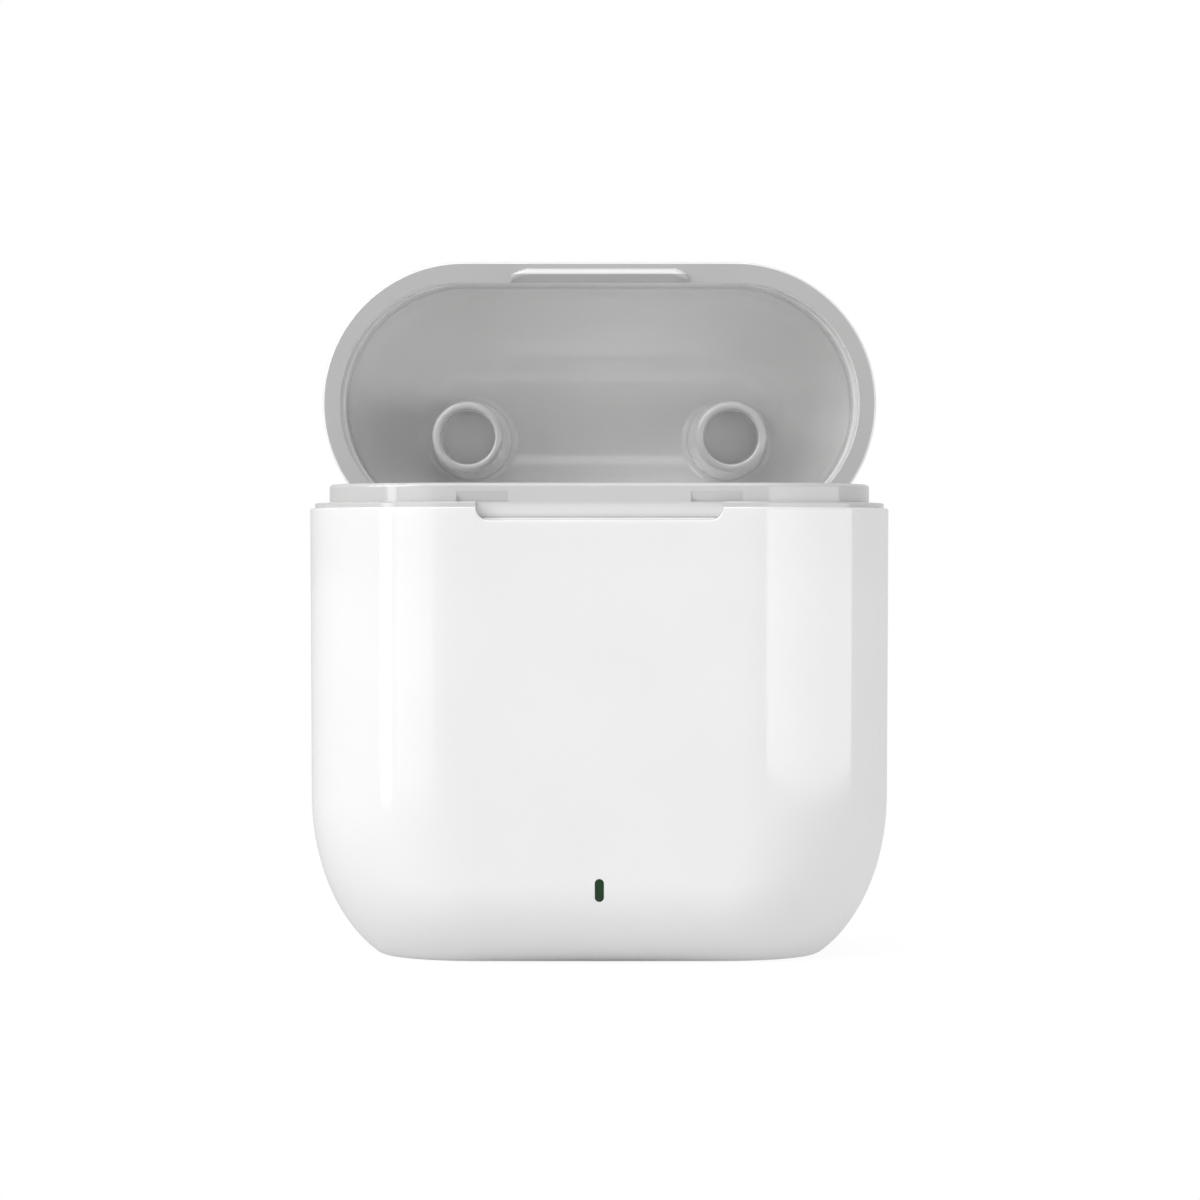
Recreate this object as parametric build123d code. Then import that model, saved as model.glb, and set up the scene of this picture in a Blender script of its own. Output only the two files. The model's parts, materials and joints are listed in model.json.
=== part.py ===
from build123d import *
import math
import os

os.makedirs("parts", exist_ok=True)

# Charging case for a pair of wireless earbuds: an oval lower shell, an inner frame with
# two earbud wells, and a domed lid on a steel hinge at the back.
# Millimetres. +X is to the user's right, +Y goes to the hinge side, +Z is up.
# The origin is the centre of the flat base. The lid is drawn shut and then swung open.

# ---- overall sizes ----------------------------------------------------------------
case_width = 45.0
case_depth = 23.0
shell_height = 34.5
lid_height = 17.8
side_draft = 0.16          # the lower shell is this much narrower at the base, each side

# ---- lower shell ------------------------------------------------------------------
shell_wall = 1.3
shell_floor = 1.5
end_corner_start = 12.2    # height where the rounded lower corners begin, at the ends
end_corner_reach = 9.2
end_corner_drop = 13.5
face_corner_start = 6.0    # the same on the front and back faces
face_corner_reach = 5.0
face_corner_drop = 6.2

# ---- inner frame ------------------------------------------------------------------
flange_thickness = 0.4
flange_setback = 0.37
flange_edge_round = 0.12
neck_height = 1.45
neck_end_gap = 0.12        # between the neck and the lid's mouth, at the round ends
neck_face_gap = 0.33       # the same at the front and back, where the mouth swings over
neck_edge_round = 0.3
neck_wall = 1.1
deck_drop = 0.9
pocket_edge_round = 0.25
deck_thickness = 1.4
skirt_wall = 0.9
skirt_length = 4.5
skirt_gap = 0.1

# ---- thumb notch ------------------------------------------------------------------
notch_half_width = 9.3
notch_depth = 1.0          # below the lower shell's top edge
notch_corner = 1.0
wedge_offset = 8.85        # two small wedge recesses in the neck's front face
wedge_width = 3.9
wedge_height = 0.83
wedge_depth = 0.3

# ---- earbud wells -----------------------------------------------------------------
stem_bore_radius = 3.2
well_wall = 0.8
well_side_gap = 0.6        # between a stem tube and the lower shell, at the tube's foot
well_foot = 4.8            # height of the stem tubes' open feet
well_foot_step = 0.3       # a tube's foot is this much narrower in radius, for its contact carrier
well_foot_margin = 0.2     # from the contact pins' tips up to the step, which the stem's end meets
pocket_depth = 7.5
pocket_half_depth = 6.6
pocket_septum = 2.8
pocket_overlap = 1.0       # how far a pocket reaches past its stem bore's axis
pocket_reach = 4.6
pocket_drop = 5.6

# ---- lid --------------------------------------------------------------------------
lid_gap = 0.12             # between the flange and the shut lid
lid_wall = 1.0
lid_crown = 1.1
rim_wall_end = 1.38
rim_wall_face = 1.72
rim_depth = 2.0
lid_end_reach = 8.5
lid_end_drop = 10.0
lid_face_reach = 8.2
lid_face_drop = 11.0
liner_wall = 0.65
liner_depth = 15.0
liner_gap = 0.05
liner_end_reach = 7.0
liner_end_drop = 9.0
liner_face_reach = 7.5
liner_face_drop = 9.5
tongue_half_width = 7.2
tongue_height = 0.5
tongue_outer = 0.54        # the tongue's section, measured in from the lid's outer face
tongue_crest_outer = 0.98
tongue_crest_inner = 1.24
tongue_inner = 1.68
post_offset = 10.8
post_back = 2.6
post_setback = 2.5         # from the lid's mouth to the posts' tips
post_tip_radius = 2.9
post_base_radius = 3.4
post_bore_radius = 2.24
post_bore_depth = 4.5

# ---- hinge ------------------------------------------------------------------------
hinge_inset = 0.9          # from the back face to the hinge axis, which is the barrel's radius
hinge_below_mouth = 2.42
hinge_half_width = 9.8
hinge_side_gap = 0.2
barrel_clearance = 0.2     # round the hinge barrels, where the frame comes near them
hinge_slot_drop = 0.2      # clear space under the barrel
pin_radius = 0.45
pin_clearance = 0.03
knuckle_gap = 0.1
centre_knuckle_half = 1.5
leaf_half_width = 6.8
leaf_thickness = 0.65
leaf_height = 8.4
bracket_thickness = 0.6
bracket_height = 3.9
bracket_screw_spacing = 6.0
leaf_screw_spacing = 8.0
screw_head_radius = 0.7
screw_head_depth = 0.3
screw_shank_radius = 0.4
bracket_screw_length = 1.3
leaf_screw_length = 1.05

# ---- electronics ------------------------------------------------------------------
port_width = 8.94
port_depth = 3.26
port_wall = 0.3
port_length = 6.9
port_inset = 0.35
port_clearance = 0.15
tongue_width = 6.7
tongue_plate = 0.7
tongue_length = 4.4
contact_count = 8
contact_pitch = 0.75
contact_width = 0.35
contact_proud = 0.04
board_thickness = 0.8
switch_depth = 1.4
switch_width = 3.6
switch_bore_radius = 0.9
switch_plunger_radius = 0.8
switch_plunger_proud = 0.3
button_radius = 3.5
button_clearance = 0.08
button_below_bracket = 1.45 # from the hinge bracket down to the button's hidden rim
button_flange_radius = 4.1
button_flange_thickness = 0.5
button_flange_gap = 0.15
button_stem_radius = 0.9
button_stem_length = 1.2
battery_gap = 0.4
battery_front_gap = 1.5
battery_floor = 8.4
battery_corner = 1.2
tape_thickness = 0.3
flex_thickness = 0.15
flex_width = 3.0
flex_height = 7.65
light_width = 0.65
light_height = 1.7
light_level = 5.7
light_fit = 0.02
light_pipe_flange = 0.45
led_width = 1.2
led_height = 1.8
led_depth = 0.5
led_board_size = 4.0
led_board_thickness = 0.25
carrier_thickness = 1.3
carrier_gap = 0.05
contact_spacing = 2.4
barrel_radius = 0.55
barrel_bore_radius = 0.4
barrel_length = 3.3
pin_contact_radius = 0.36
pin_contact_proud = 1.0
pin_contact_length = 2.9
magnet_width = 5.0
magnet_height = 3.0
magnet_thickness = 1.2
magnet_end_gap = 0.5       # from a magnet's end to where the round ends begin
lid_magnet_thickness = 0.5
lid_magnet_height = 1.5
edge_gap = 0.05
curve_steps = 14           # sections through each rounded corner

# ---- values worked out from the sizes above ------------------------------------------
half_width = case_width / 2
half_depth = case_depth / 2
flange_top = shell_height + flange_thickness
neck_top = flange_top + neck_height
deck_top = neck_top - deck_drop
deck_bottom = deck_top - deck_thickness
mouth_level = flange_top + lid_gap
mouth_half_width = half_width - rim_wall_end
mouth_half_depth = half_depth - rim_wall_face
liner_half_width = half_width - lid_wall - liner_gap - liner_wall
liner_half_depth = half_depth - lid_wall - liner_gap - liner_wall
neck_half_width = mouth_half_width - neck_end_gap
neck_half_depth = mouth_half_depth - neck_face_gap
hinge_y = half_depth - hinge_inset
hinge_z = mouth_level - hinge_below_mouth
hinge_slot_half = hinge_half_width + hinge_side_gap
hinge_slot_floor = hinge_z - hinge_inset - hinge_slot_drop
leaf_outer = half_depth - lid_wall - edge_gap
leaf_inner = leaf_outer - leaf_thickness
bracket_top = hinge_slot_floor - edge_gap
bracket_bottom = bracket_top - bracket_height
button_height = bracket_bottom - button_below_bracket - button_flange_radius
magnet_offset = half_width - half_depth - magnet_end_gap - magnet_width / 2
carrier_top = well_foot + carrier_thickness
well_step_level = carrier_top + pin_contact_proud + well_foot_margin


def ellipse_inset(distance, reach, drop):
    """How far a quarter ellipse has come in at this distance past its start."""
    share = min(max(distance, 0) / drop, 1)
    return reach * (1 - math.sqrt(1 - share**2))


def shell_half_width(z):
    """Half the lower shell's outside width at height z."""
    draft = side_draft * (1 - z / shell_height)
    corner = ellipse_inset(end_corner_start - z, end_corner_reach, end_corner_drop)
    return half_width - draft - corner


def shell_half_depth(z):
    """Half the lower shell's outside depth at height z."""
    draft = side_draft * (1 - z / shell_height)
    corner = ellipse_inset(face_corner_start - z, face_corner_reach, face_corner_drop)
    return half_depth - draft - corner


def inner_half_width(z):
    """Half the lower shell's inside width at height z."""
    return shell_half_width(max(z - shell_floor, 0)) - shell_wall


def inner_half_depth(z):
    """Half the lower shell's inside depth at height z."""
    return shell_half_depth(max(z - shell_floor, 0)) - shell_wall


def block(x_low, x_high, y_low, y_high, z_low, z_high):
    """A box between two corners."""
    centre = Pos((x_low + x_high) / 2, (y_low + y_high) / 2, (z_low + z_high) / 2)
    return centre * Box(x_high - x_low, y_high - y_low, z_high - z_low)


def post(x, y, z_low, z_high, radius):
    """An upright cylinder."""
    return Pos(x, y, (z_low + z_high) / 2) * Cylinder(radius, z_high - z_low)


def rod_x(x_low, x_high, y, z, radius):
    """A cylinder along X."""
    return Pos((x_low + x_high) / 2, y, z) * Rot(0, 90, 0) * Cylinder(radius, x_high - x_low)


def rod_y(x, y_low, y_high, z, radius):
    """A cylinder along Y."""
    return Pos(x, (y_low + y_high) / 2, z) * Rot(90, 0, 0) * Cylinder(radius, y_high - y_low)


def oval(width_half, depth_half, z):
    """A flat shape with straight sides and round ends, at height z."""
    return Pos(0, 0, z) * SlotOverall(2 * width_half, 2 * depth_half)


def oval_prism(width_half, depth_half, z_low, z_high):
    """An oval carried straight up."""
    return extrude(oval(width_half, depth_half, z_low), z_high - z_low)


def mirrored(solid):
    """A solid and its mirror image on the other side of the centre plane."""
    return [solid, mirror(solid, Plane.YZ)]


def save(name, solids):
    """Writes one sub-part's STEP file."""
    pieces = list(solids) if isinstance(solids, (list, tuple)) else [solids]
    flat = [one for piece in pieces for one in piece.solids()]
    whole = flat[0] if len(flat) == 1 else Compound(children=flat)
    export_step(whole, os.path.join("parts", name + ".step"))


def swing_open(solid):
    """Turns a piece of the shut lid back about the hinge axis, by a quarter turn."""
    return Pos(0, hinge_y, hinge_z) * Rot(-90, 0, 0) * Pos(0, -hinge_y, -hinge_z) * solid


# ---- lower shell ------------------------------------------------------------------
def corner_levels():
    """Heights through the rounded lower corner, in equal steps of its angle, lowest first."""
    full_turn = math.asin(end_corner_start / end_corner_drop)
    turns = [full_turn * step / curve_steps for step in range(curve_steps, -1, -1)]
    return [end_corner_start - end_corner_drop * math.sin(turn) for turn in turns]


def shell_form(inset, lift):
    """The lower shell's outside, or its hollow when it is inset and lifted."""
    sections = []
    for z in corner_levels() + [shell_height]:
        sections.append(oval(shell_half_width(z) - inset, shell_half_depth(z) - inset, z + lift))
    return loft(sections[:-1]) + loft(sections[-2:], ruled=True)


def thumb_notch():
    """The cutter for the thumb notch: a rounded front outline over a dished ramp."""
    low = shell_height - notch_depth
    high = neck_top + 1
    outline = Pos(0, (low + high) / 2) * Rectangle(2 * notch_half_width, high - low)
    lower_corners = outline.vertices().sort_by(Axis.Y)[:2]
    front = Plane.XZ * fillet(lower_corners, notch_corner)
    front_cut = Pos(0, -neck_half_depth, 0) * extrude(front, case_depth / 4)
    ramp_outer = -half_depth - 0.3
    start = (-neck_half_depth, flange_top)
    middle = (-neck_half_depth - 0.55, shell_height - 0.62 * notch_depth)
    end = (ramp_outer, low - 0.05)
    ramp = ThreePointArc(start, middle, end)
    rest = Polyline(end, (ramp_outer, high), (-neck_half_depth, high), start)
    above_ramp = extrude(Plane.YZ * make_face([ramp, rest]), notch_half_width + 1, both=True)
    return front_cut & above_ramp


def hinge_slot():
    """The cutter that opens the back wall for the hinge, up through the top edge."""
    return block(
        -hinge_slot_half,
        hinge_slot_half,
        neck_half_depth + edge_gap,
        half_depth + 1,
        hinge_slot_floor,
        neck_top + 1,
    )


def port_opening():
    """The cutter for the charging port's slot in the base."""
    slot = SlotOverall(port_width + 2 * port_clearance, port_depth + 2 * port_clearance)
    return Pos(0, 0, -1) * extrude(slot, shell_floor + 2)


def light_bar(margin, y_low, y_high):
    """An upright rounded bar along Y, for the charge light and its hole."""
    outline = Rot(0, 0, 90) * SlotOverall(light_height + 2 * margin, light_width + 2 * margin)
    flat = Pos(0, y_high, light_level) * (Plane.XZ * outline)
    return extrude(flat, y_high - y_low)


outer_form = shell_form(0, 0)
shell_hollow = shell_form(shell_wall, shell_floor)
notch = thumb_notch()
slot = hinge_slot()

outer_shell = outer_form - shell_hollow - notch - slot - port_opening()
outer_shell -= light_bar(light_fit, -half_depth - 1, -half_depth + shell_wall + 1)
button_hole_radius = button_radius + button_clearance
outer_shell -= rod_y(0, half_depth - shell_wall - 1, half_depth + 1, button_height, button_hole_radius)
save("outer_shell", outer_shell)

# ---- earbud wells -----------------------------------------------------------------
tube_radius = stem_bore_radius + well_wall
stem_x = inner_half_width(well_foot) - well_side_gap - tube_radius
pocket_inner = pocket_septum / 2
pocket_half_width = (stem_x + pocket_overlap - pocket_inner) / 2
pocket_x = pocket_inner + pocket_half_width
pocket_floor = deck_top - pocket_depth


def pocket_form(grow):
    """The bowl for an earbud's head, grown by a wall's thickness on the outside."""
    start = pocket_floor + pocket_drop
    sections = []
    for step in range(9):
        angle = math.radians(90 * (1 - step / 8))
        inset = pocket_reach * (1 - math.cos(angle))
        level = start - (pocket_drop + grow) * math.sin(angle)
        bowl = Ellipse(pocket_half_width + grow - inset, pocket_half_depth + grow - inset)
        sections.append(Pos(pocket_x, 0, level) * bowl)
    top = Ellipse(pocket_half_width + grow, pocket_half_depth + grow)
    bowl_part = loft(sections)
    collar = extrude(Pos(pocket_x, 0, start) * top, neck_top + 1 - start)
    return bowl_part + collar


seat_radius = stem_bore_radius - well_foot_step
well_space = pocket_form(0) + post(stem_x, 0, well_step_level, neck_top + 1, stem_bore_radius)
well_space += post(stem_x, 0, well_foot - 1, well_step_level + 1, seat_radius)
well_outside = pocket_form(well_wall) + post(stem_x, 0, well_foot, neck_top, tube_radius)
below_deck = block(0, half_width, -half_depth, half_depth, 0, deck_bottom)
well = (well_outside & below_deck) - well_space
well_left, well_right = mirror(well, Plane.YZ), well
save("earbud_well_left", well_left)
save("earbud_well_right", well_right)

# ---- inner frame ------------------------------------------------------------------
skirt_half_width = inner_half_width(shell_height) - skirt_gap
skirt_half_depth = inner_half_depth(shell_height) - skirt_gap
skirt_bottom = shell_height - skirt_length
back_wall_inner = neck_half_depth - 1.1


def wedge_recess(x):
    """The cutter for a wedge recess: level with the neck's face at its top, deepest at the flange."""
    face = -neck_half_depth
    corners = [
        (face, flange_top + wedge_height),
        (face - 1, flange_top + wedge_height),
        (face - 1, flange_top),
        (face + wedge_depth, flange_top),
    ]
    side = Plane.YZ * make_face(Polyline(*corners, close=True))
    return Pos(x, 0, 0) * extrude(side, wedge_width / 2, both=True)


def is_pocket_mouth(edge):
    """Whether an edge is part of a pocket's or stem bore's outline on the deck's top."""
    box = edge.bounding_box()
    on_top = abs(box.min.Z - deck_top) < 0.001 and abs(box.max.Z - deck_top) < 0.001
    return on_top and box.max.Y - box.min.Y < 2 * pocket_half_depth + 0.1 and abs(edge.center().X) > 1


def inner_frame_body():
    """Neck, flange, deck, skirt and the wall that carries the hinge bracket."""
    neck = oval_prism(neck_half_width, neck_half_depth, deck_bottom, neck_top)
    neck -= oval_prism(neck_half_width - neck_wall, neck_half_depth - neck_wall, deck_top, neck_top + 1)
    neck = fillet(neck.edges().group_by(Axis.Z)[-1], neck_edge_round)
    flange = oval_prism(half_width - flange_setback, half_depth - flange_setback, shell_height, flange_top)
    flange = fillet(flange.edges().group_by(Axis.Z)[-1], flange_edge_round)
    skirt = oval_prism(skirt_half_width, skirt_half_depth, skirt_bottom, shell_height)
    skirt -= oval_prism(
        skirt_half_width - skirt_wall, skirt_half_depth - skirt_wall, skirt_bottom - 1, deck_bottom
    )
    hinge_wall = block(
        -hinge_slot_half, hinge_slot_half, back_wall_inner, neck_half_depth, bracket_bottom, deck_bottom
    )
    behind_hinge_wall = block(
        -hinge_slot_half, hinge_slot_half, neck_half_depth, half_depth, skirt_bottom - 1, neck_top
    )
    frame = neck + flange + skirt + hinge_wall - behind_hinge_wall
    frame -= rod_x(-hinge_slot_half, hinge_slot_half, hinge_y, hinge_z, hinge_inset + barrel_clearance)
    frame -= notch
    for side in (-1, 1):
        frame -= wedge_recess(side * wedge_offset)
    for space in mirrored(well_space):
        frame -= space
    return fillet(frame.edges().filter_by(is_pocket_mouth), pocket_edge_round)


inner_frame = inner_frame_body()

# ---- hinge ------------------------------------------------------------------------
outer_knuckle = (leaf_half_width + knuckle_gap, hinge_half_width)
centre_knuckle = (-centre_knuckle_half, centre_knuckle_half)
leaf_knuckle = (centre_knuckle_half + knuckle_gap, leaf_half_width)
bracket_outer = neck_half_depth + bracket_thickness


def barrel(span):
    """A hinge barrel round the hinge axis, from one X to another."""
    return rod_x(span[0], span[1], hinge_y, hinge_z, hinge_inset)


def hinge_bracket_body():
    """The plate on the frame's back wall with its three fixed barrels."""
    bracket = block(
        -hinge_half_width, hinge_half_width, neck_half_depth, bracket_outer, bracket_bottom, bracket_top
    )
    fixed = [(-outer_knuckle[1], -outer_knuckle[0]), centre_knuckle, outer_knuckle]
    for span in fixed:
        bracket += block(span[0], span[1], neck_half_depth, bracket_outer, bracket_top, hinge_z)
        bracket += barrel(span)
    return bracket - rod_x(-half_width, half_width, hinge_y, hinge_z, pin_radius)


def countersunk_screw(x, z, head_face, direction, length):
    """A flush-headed screw along Y. Its head lies at head_face and it points along direction."""
    head_end = head_face + direction * screw_head_depth
    tip = head_face + direction * length
    head = rod_y(x, min(head_face, head_end), max(head_face, head_end), z, screw_head_radius)
    return head + rod_y(x, min(head_end, tip), max(head_end, tip), z, screw_shank_radius)


bracket_screw_z = (bracket_top + bracket_bottom) / 2
bracket_screws = [
    countersunk_screw(x, bracket_screw_z, bracket_outer, -1, bracket_screw_length)
    for x in (-bracket_screw_spacing, 0, bracket_screw_spacing)
]
hinge_bracket = hinge_bracket_body()
for screw in bracket_screws:
    hinge_bracket -= screw
    inner_frame -= screw
hinge_pin = rod_x(-hinge_half_width, hinge_half_width, hinge_y, hinge_z, pin_radius)
save("inner_frame", inner_frame)
save("hinge_bracket", hinge_bracket)
save("hinge_pin", hinge_pin)
save("hinge_bracket_screws", bracket_screws)

# ---- lid, drawn shut --------------------------------------------------------------
def dome(width_half, depth_half, height, end_corner, face_corner, low):
    """A straight-sided oval with a domed top. Each corner is its reach and drop."""
    drop = max(end_corner[1], face_corner[1])
    sections = []
    for step in range(curve_steps + 1):
        z = height - drop * (1 - math.sin(math.radians(90 * step / curve_steps)))
        end_inset = ellipse_inset(z - height + end_corner[1], *end_corner)
        face_inset = ellipse_inset(z - height + face_corner[1], *face_corner)
        sections.append(oval(width_half - end_inset, depth_half - face_inset, z))
    wall = oval_prism(width_half, depth_half, low, height - drop)
    return Pos(0, 0, mouth_level) * (loft(sections) + wall)


lid_form = dome(
    half_width,
    half_depth,
    lid_height,
    (lid_end_reach, lid_end_drop),
    (lid_face_reach, lid_face_drop),
    0,
)
lid_hollow = dome(
    half_width - lid_wall,
    half_depth - lid_wall,
    lid_height - lid_crown,
    (lid_end_reach, lid_end_drop),
    (lid_face_reach, lid_face_drop),
    rim_depth,
)
liner_space = dome(
    liner_half_width,
    liner_half_depth,
    liner_depth,
    (liner_end_reach, liner_end_drop),
    (liner_face_reach, liner_face_drop),
    rim_depth + liner_gap,
)
liner_form = dome(
    liner_half_width + liner_wall,
    liner_half_depth + liner_wall,
    liner_depth + liner_wall,
    (liner_end_reach, liner_end_drop),
    (liner_face_reach, liner_face_drop),
    rim_depth + liner_gap,
)


def lid_tongue():
    """The ridge on the lid's front rim: two slopes up to a narrow crest, with slanted ends."""
    outer = -half_depth + tongue_outer
    inner = -half_depth + tongue_inner
    crest_outer = -half_depth + tongue_crest_outer
    crest_inner = -half_depth + tongue_crest_inner
    base_corners = [(-tongue_half_width, outer), (tongue_half_width, outer)]
    base_corners += [(tongue_half_width, inner), (-tongue_half_width, inner)]
    crest_half = tongue_half_width - tongue_height
    crest_corners = [(-crest_half, crest_outer), (crest_half, crest_outer)]
    crest_corners += [(crest_half, crest_inner), (-crest_half, crest_inner)]
    base = make_face(Polyline(*base_corners, close=True))
    crest = make_face(Polyline(*crest_corners, close=True))
    return loft([Pos(0, 0, mouth_level - tongue_height) * crest, Pos(0, 0, mouth_level) * base])


def lid_magnet(x):
    """A bar magnet in the lid's front rim, in a pocket that opens towards the liner."""
    outer = -half_depth + lid_wall + edge_gap
    top = mouth_level + rim_depth
    return block(
        x - magnet_width / 2,
        x + magnet_width / 2,
        outer,
        outer + lid_magnet_thickness,
        top - lid_magnet_height,
        top,
    )


def leaf_body():
    """The moving hinge leaf: a plate in the lid's back wall with two barrels."""
    plate = block(
        -leaf_half_width, leaf_half_width, leaf_inner, leaf_outer, hinge_z, hinge_z + leaf_height
    )
    clear_half = centre_knuckle_half + knuckle_gap
    clear_top = hinge_z + hinge_inset + 0.3
    plate -= block(-clear_half, clear_half, 0, half_depth, hinge_z - 1, clear_top)
    for span in (leaf_knuckle, (-leaf_knuckle[1], -leaf_knuckle[0])):
        plate += barrel(span)
    return plate - rod_x(-half_width, half_width, hinge_y, hinge_z, pin_radius + pin_clearance)


leaf_side_gap = 0.2
leaf_top = hinge_z + leaf_height
leaf_rim_slot = block(
    -leaf_half_width - leaf_side_gap,
    leaf_half_width + leaf_side_gap,
    leaf_inner - 1,
    leaf_outer + edge_gap,
    mouth_level - 1,
    mouth_level + rim_depth,
)
leaf_liner_slot = block(
    -leaf_half_width - leaf_side_gap,
    leaf_half_width + leaf_side_gap,
    neck_half_depth - 1,
    half_depth,
    mouth_level,
    leaf_top + leaf_side_gap,
)
leaf_screw_z = (mouth_level + rim_depth + leaf_top) / 2
leaf_screws = [
    countersunk_screw(x, leaf_screw_z, leaf_inner, 1, leaf_screw_length)
    for x in (-leaf_screw_spacing / 2, leaf_screw_spacing / 2)
]
lid_magnets = [lid_magnet(-magnet_offset), lid_magnet(magnet_offset)]

lid_mouth = oval_prism(mouth_half_width, mouth_half_depth, mouth_level - 1, mouth_level + rim_depth)
lid_shell = lid_form - lid_hollow - lid_mouth + lid_tongue() - leaf_rim_slot
hinge_leaf = leaf_body()
for magnet in lid_magnets:
    lid_shell -= magnet
for screw in leaf_screws:
    lid_shell -= screw
    hinge_leaf -= screw


def lid_post(x):
    """A tapered post that reaches down from the liner's ceiling, cut off at its outside."""
    length = liner_depth + liner_wall - post_setback
    taper = Cone(post_tip_radius, post_base_radius, length)
    placed = Pos(x, post_back, mouth_level + post_setback + length / 2) * taper
    return placed & liner_form


def lid_post_bore(x):
    """The blind hole in a post's tip."""
    tip = mouth_level + post_setback
    return post(x, post_back, tip - 1, tip + post_bore_depth, post_bore_radius)


lid_liner = liner_form - liner_space - leaf_liner_slot
for side in (-1, 1):
    lid_liner += lid_post(side * post_offset)
for side in (-1, 1):
    lid_liner -= lid_post_bore(side * post_offset)

save("lid_shell", swing_open(lid_shell))
save("lid_liner", swing_open(lid_liner))
save("lid_hinge_leaf", swing_open(hinge_leaf))
save("lid_leaf_screws", [swing_open(screw) for screw in leaf_screws])
save("lid_magnets", [swing_open(magnet) for magnet in lid_magnets])

# ---- setup button and its switch ----------------------------------------------------
wall_inside = inner_half_depth(button_height)
flange_back = wall_inside - button_flange_gap
flange_front = flange_back - button_flange_thickness
stem_front = flange_front - button_stem_length
board_back = stem_front - switch_plunger_proud - switch_depth
board_front = board_back - board_thickness
switch_back = board_back + switch_depth

button_cap = rod_y(0, flange_back, half_depth + 1, button_height, button_radius) & outer_form
button_cap += rod_y(0, flange_front, flange_back, button_height, button_flange_radius)
button_cap += rod_y(0, stem_front, flange_front, button_height, button_stem_radius)
save("setup_button", button_cap)

plunger_length = switch_plunger_proud + 0.6
switch_plunger = rod_y(0, stem_front - plunger_length, stem_front, button_height, switch_plunger_radius)
switch_bore = rod_y(0, board_back + 0.25, switch_back + 1, button_height, switch_bore_radius)
switch_half = switch_width / 2
switch_low = button_height - switch_half
switch_case = block(
    -switch_half, switch_half, board_back, switch_back, switch_low, switch_low + switch_width
)
save("switch_plunger", switch_plunger)
save("tact_switch", switch_case - switch_bore)

# ---- battery and main board ---------------------------------------------------------
battery_half_width = stem_x - tube_radius - battery_gap
battery_top = pocket_floor - well_wall - battery_gap
battery_back = board_front - tape_thickness
battery_front = -(inner_half_depth(battery_floor) - battery_front_gap)
cell = block(
    -battery_half_width, battery_half_width, battery_front, battery_back, battery_floor, battery_top
)
cell = fillet(cell.edges().filter_by(Axis.Z), battery_corner)
save("battery_cell", cell)
tape_half = battery_half_width - 2 * battery_corner
save(
    "battery_tape",
    block(-tape_half, tape_half, battery_back, board_front, battery_floor + 2, battery_top - 2),
)

board_low = battery_floor + 0.6
board_high = battery_top
main_board = block(-battery_half_width, battery_half_width, board_front, board_back, board_low, board_high)
save("main_board", main_board)
chip_height = 0.9
chips = [
    block(-7.0, -2.5, board_back, board_back + chip_height, board_low + 1.5, board_low + 6.0),
    block(0.5, 3.5, board_back, board_back + chip_height, board_low + 2.0, board_low + 5.0),
    block(5.0, 7.0, board_back, board_back + chip_height, board_low + 2.0, board_low + 6.5),
]
save("board_chips", chips)
sensor_low = board_high - 2.2
save("hall_sensor", block(4.5, 6.0, board_back, board_back + 0.6, sensor_low, sensor_low + 1.5))

# ---- charging port ------------------------------------------------------------------
port_top = port_inset + port_length
socket = Pos(0, 0, port_inset) * extrude(SlotOverall(port_width, port_depth), port_length)
socket_space = SlotOverall(port_width - 2 * port_wall, port_depth - 2 * port_wall)
socket -= Pos(0, 0, port_inset - 1) * extrude(socket_space, port_length + 1 - port_wall)
save("charging_socket", socket)
tongue_top = port_top - port_wall
tongue_low = tongue_top - tongue_length
plate_half = tongue_plate / 2
port_tongue = block(-tongue_width / 2, tongue_width / 2, -plate_half, plate_half, tongue_low, tongue_top)
save("socket_tongue", port_tongue)
contacts = []
for side in (-1, 1):
    for index in range(contact_count):
        x = (index - (contact_count - 1) / 2) * contact_pitch
        y_pair = sorted((side * plate_half, side * (plate_half + contact_proud)))
        x_low = x - contact_width / 2
        contacts.append(
            block(x_low, x_low + contact_width, y_pair[0], y_pair[1], tongue_low + 0.5, tongue_top)
        )
save("socket_contacts", contacts)
port_board_y = port_depth / 2
port_board_back = port_board_y + board_thickness
save(
    "port_board",
    block(-6.0, 6.0, port_board_y, port_board_back, shell_floor + 0.8, flex_height - edge_gap),
)

# ---- charge light -------------------------------------------------------------------
light_foot = light_level - light_height / 2 - light_pipe_flange
pipe_inner = -(inner_half_depth(light_foot) - edge_gap - light_pipe_flange)
pipe = light_bar(0, -half_depth - 1, pipe_inner) & outer_form
pipe += light_bar(light_pipe_flange, pipe_inner - light_pipe_flange, pipe_inner)
save("led_light_pipe", pipe)
led_back = pipe_inner + edge_gap + led_depth
save(
    "led_chip",
    block(
        -led_width / 2,
        led_width / 2,
        pipe_inner + edge_gap,
        led_back,
        light_level - led_height / 2,
        light_level + led_height / 2,
    ),
)
led_board_back = led_back + led_board_thickness
led_low = light_level - 1.4
save(
    "led_board",
    block(
        -led_board_size / 2, led_board_size / 2, led_back, led_board_back, led_low, flex_height - 0.2
    ),
)
flex_half = flex_width / 2
flex_top = flex_height + flex_thickness
flex_front = led_board_back + flex_thickness
flex_back = board_front - flex_thickness
ribbon = block(-flex_half, flex_half, led_board_back, flex_front, led_low + 0.4, flex_top)
ribbon += block(-flex_half, flex_half, led_board_back, board_front, flex_height, flex_top)
ribbon += block(-flex_half, flex_half, flex_back, board_front, flex_height, board_low + 1.2)
save("flex_ribbon", ribbon)

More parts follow.
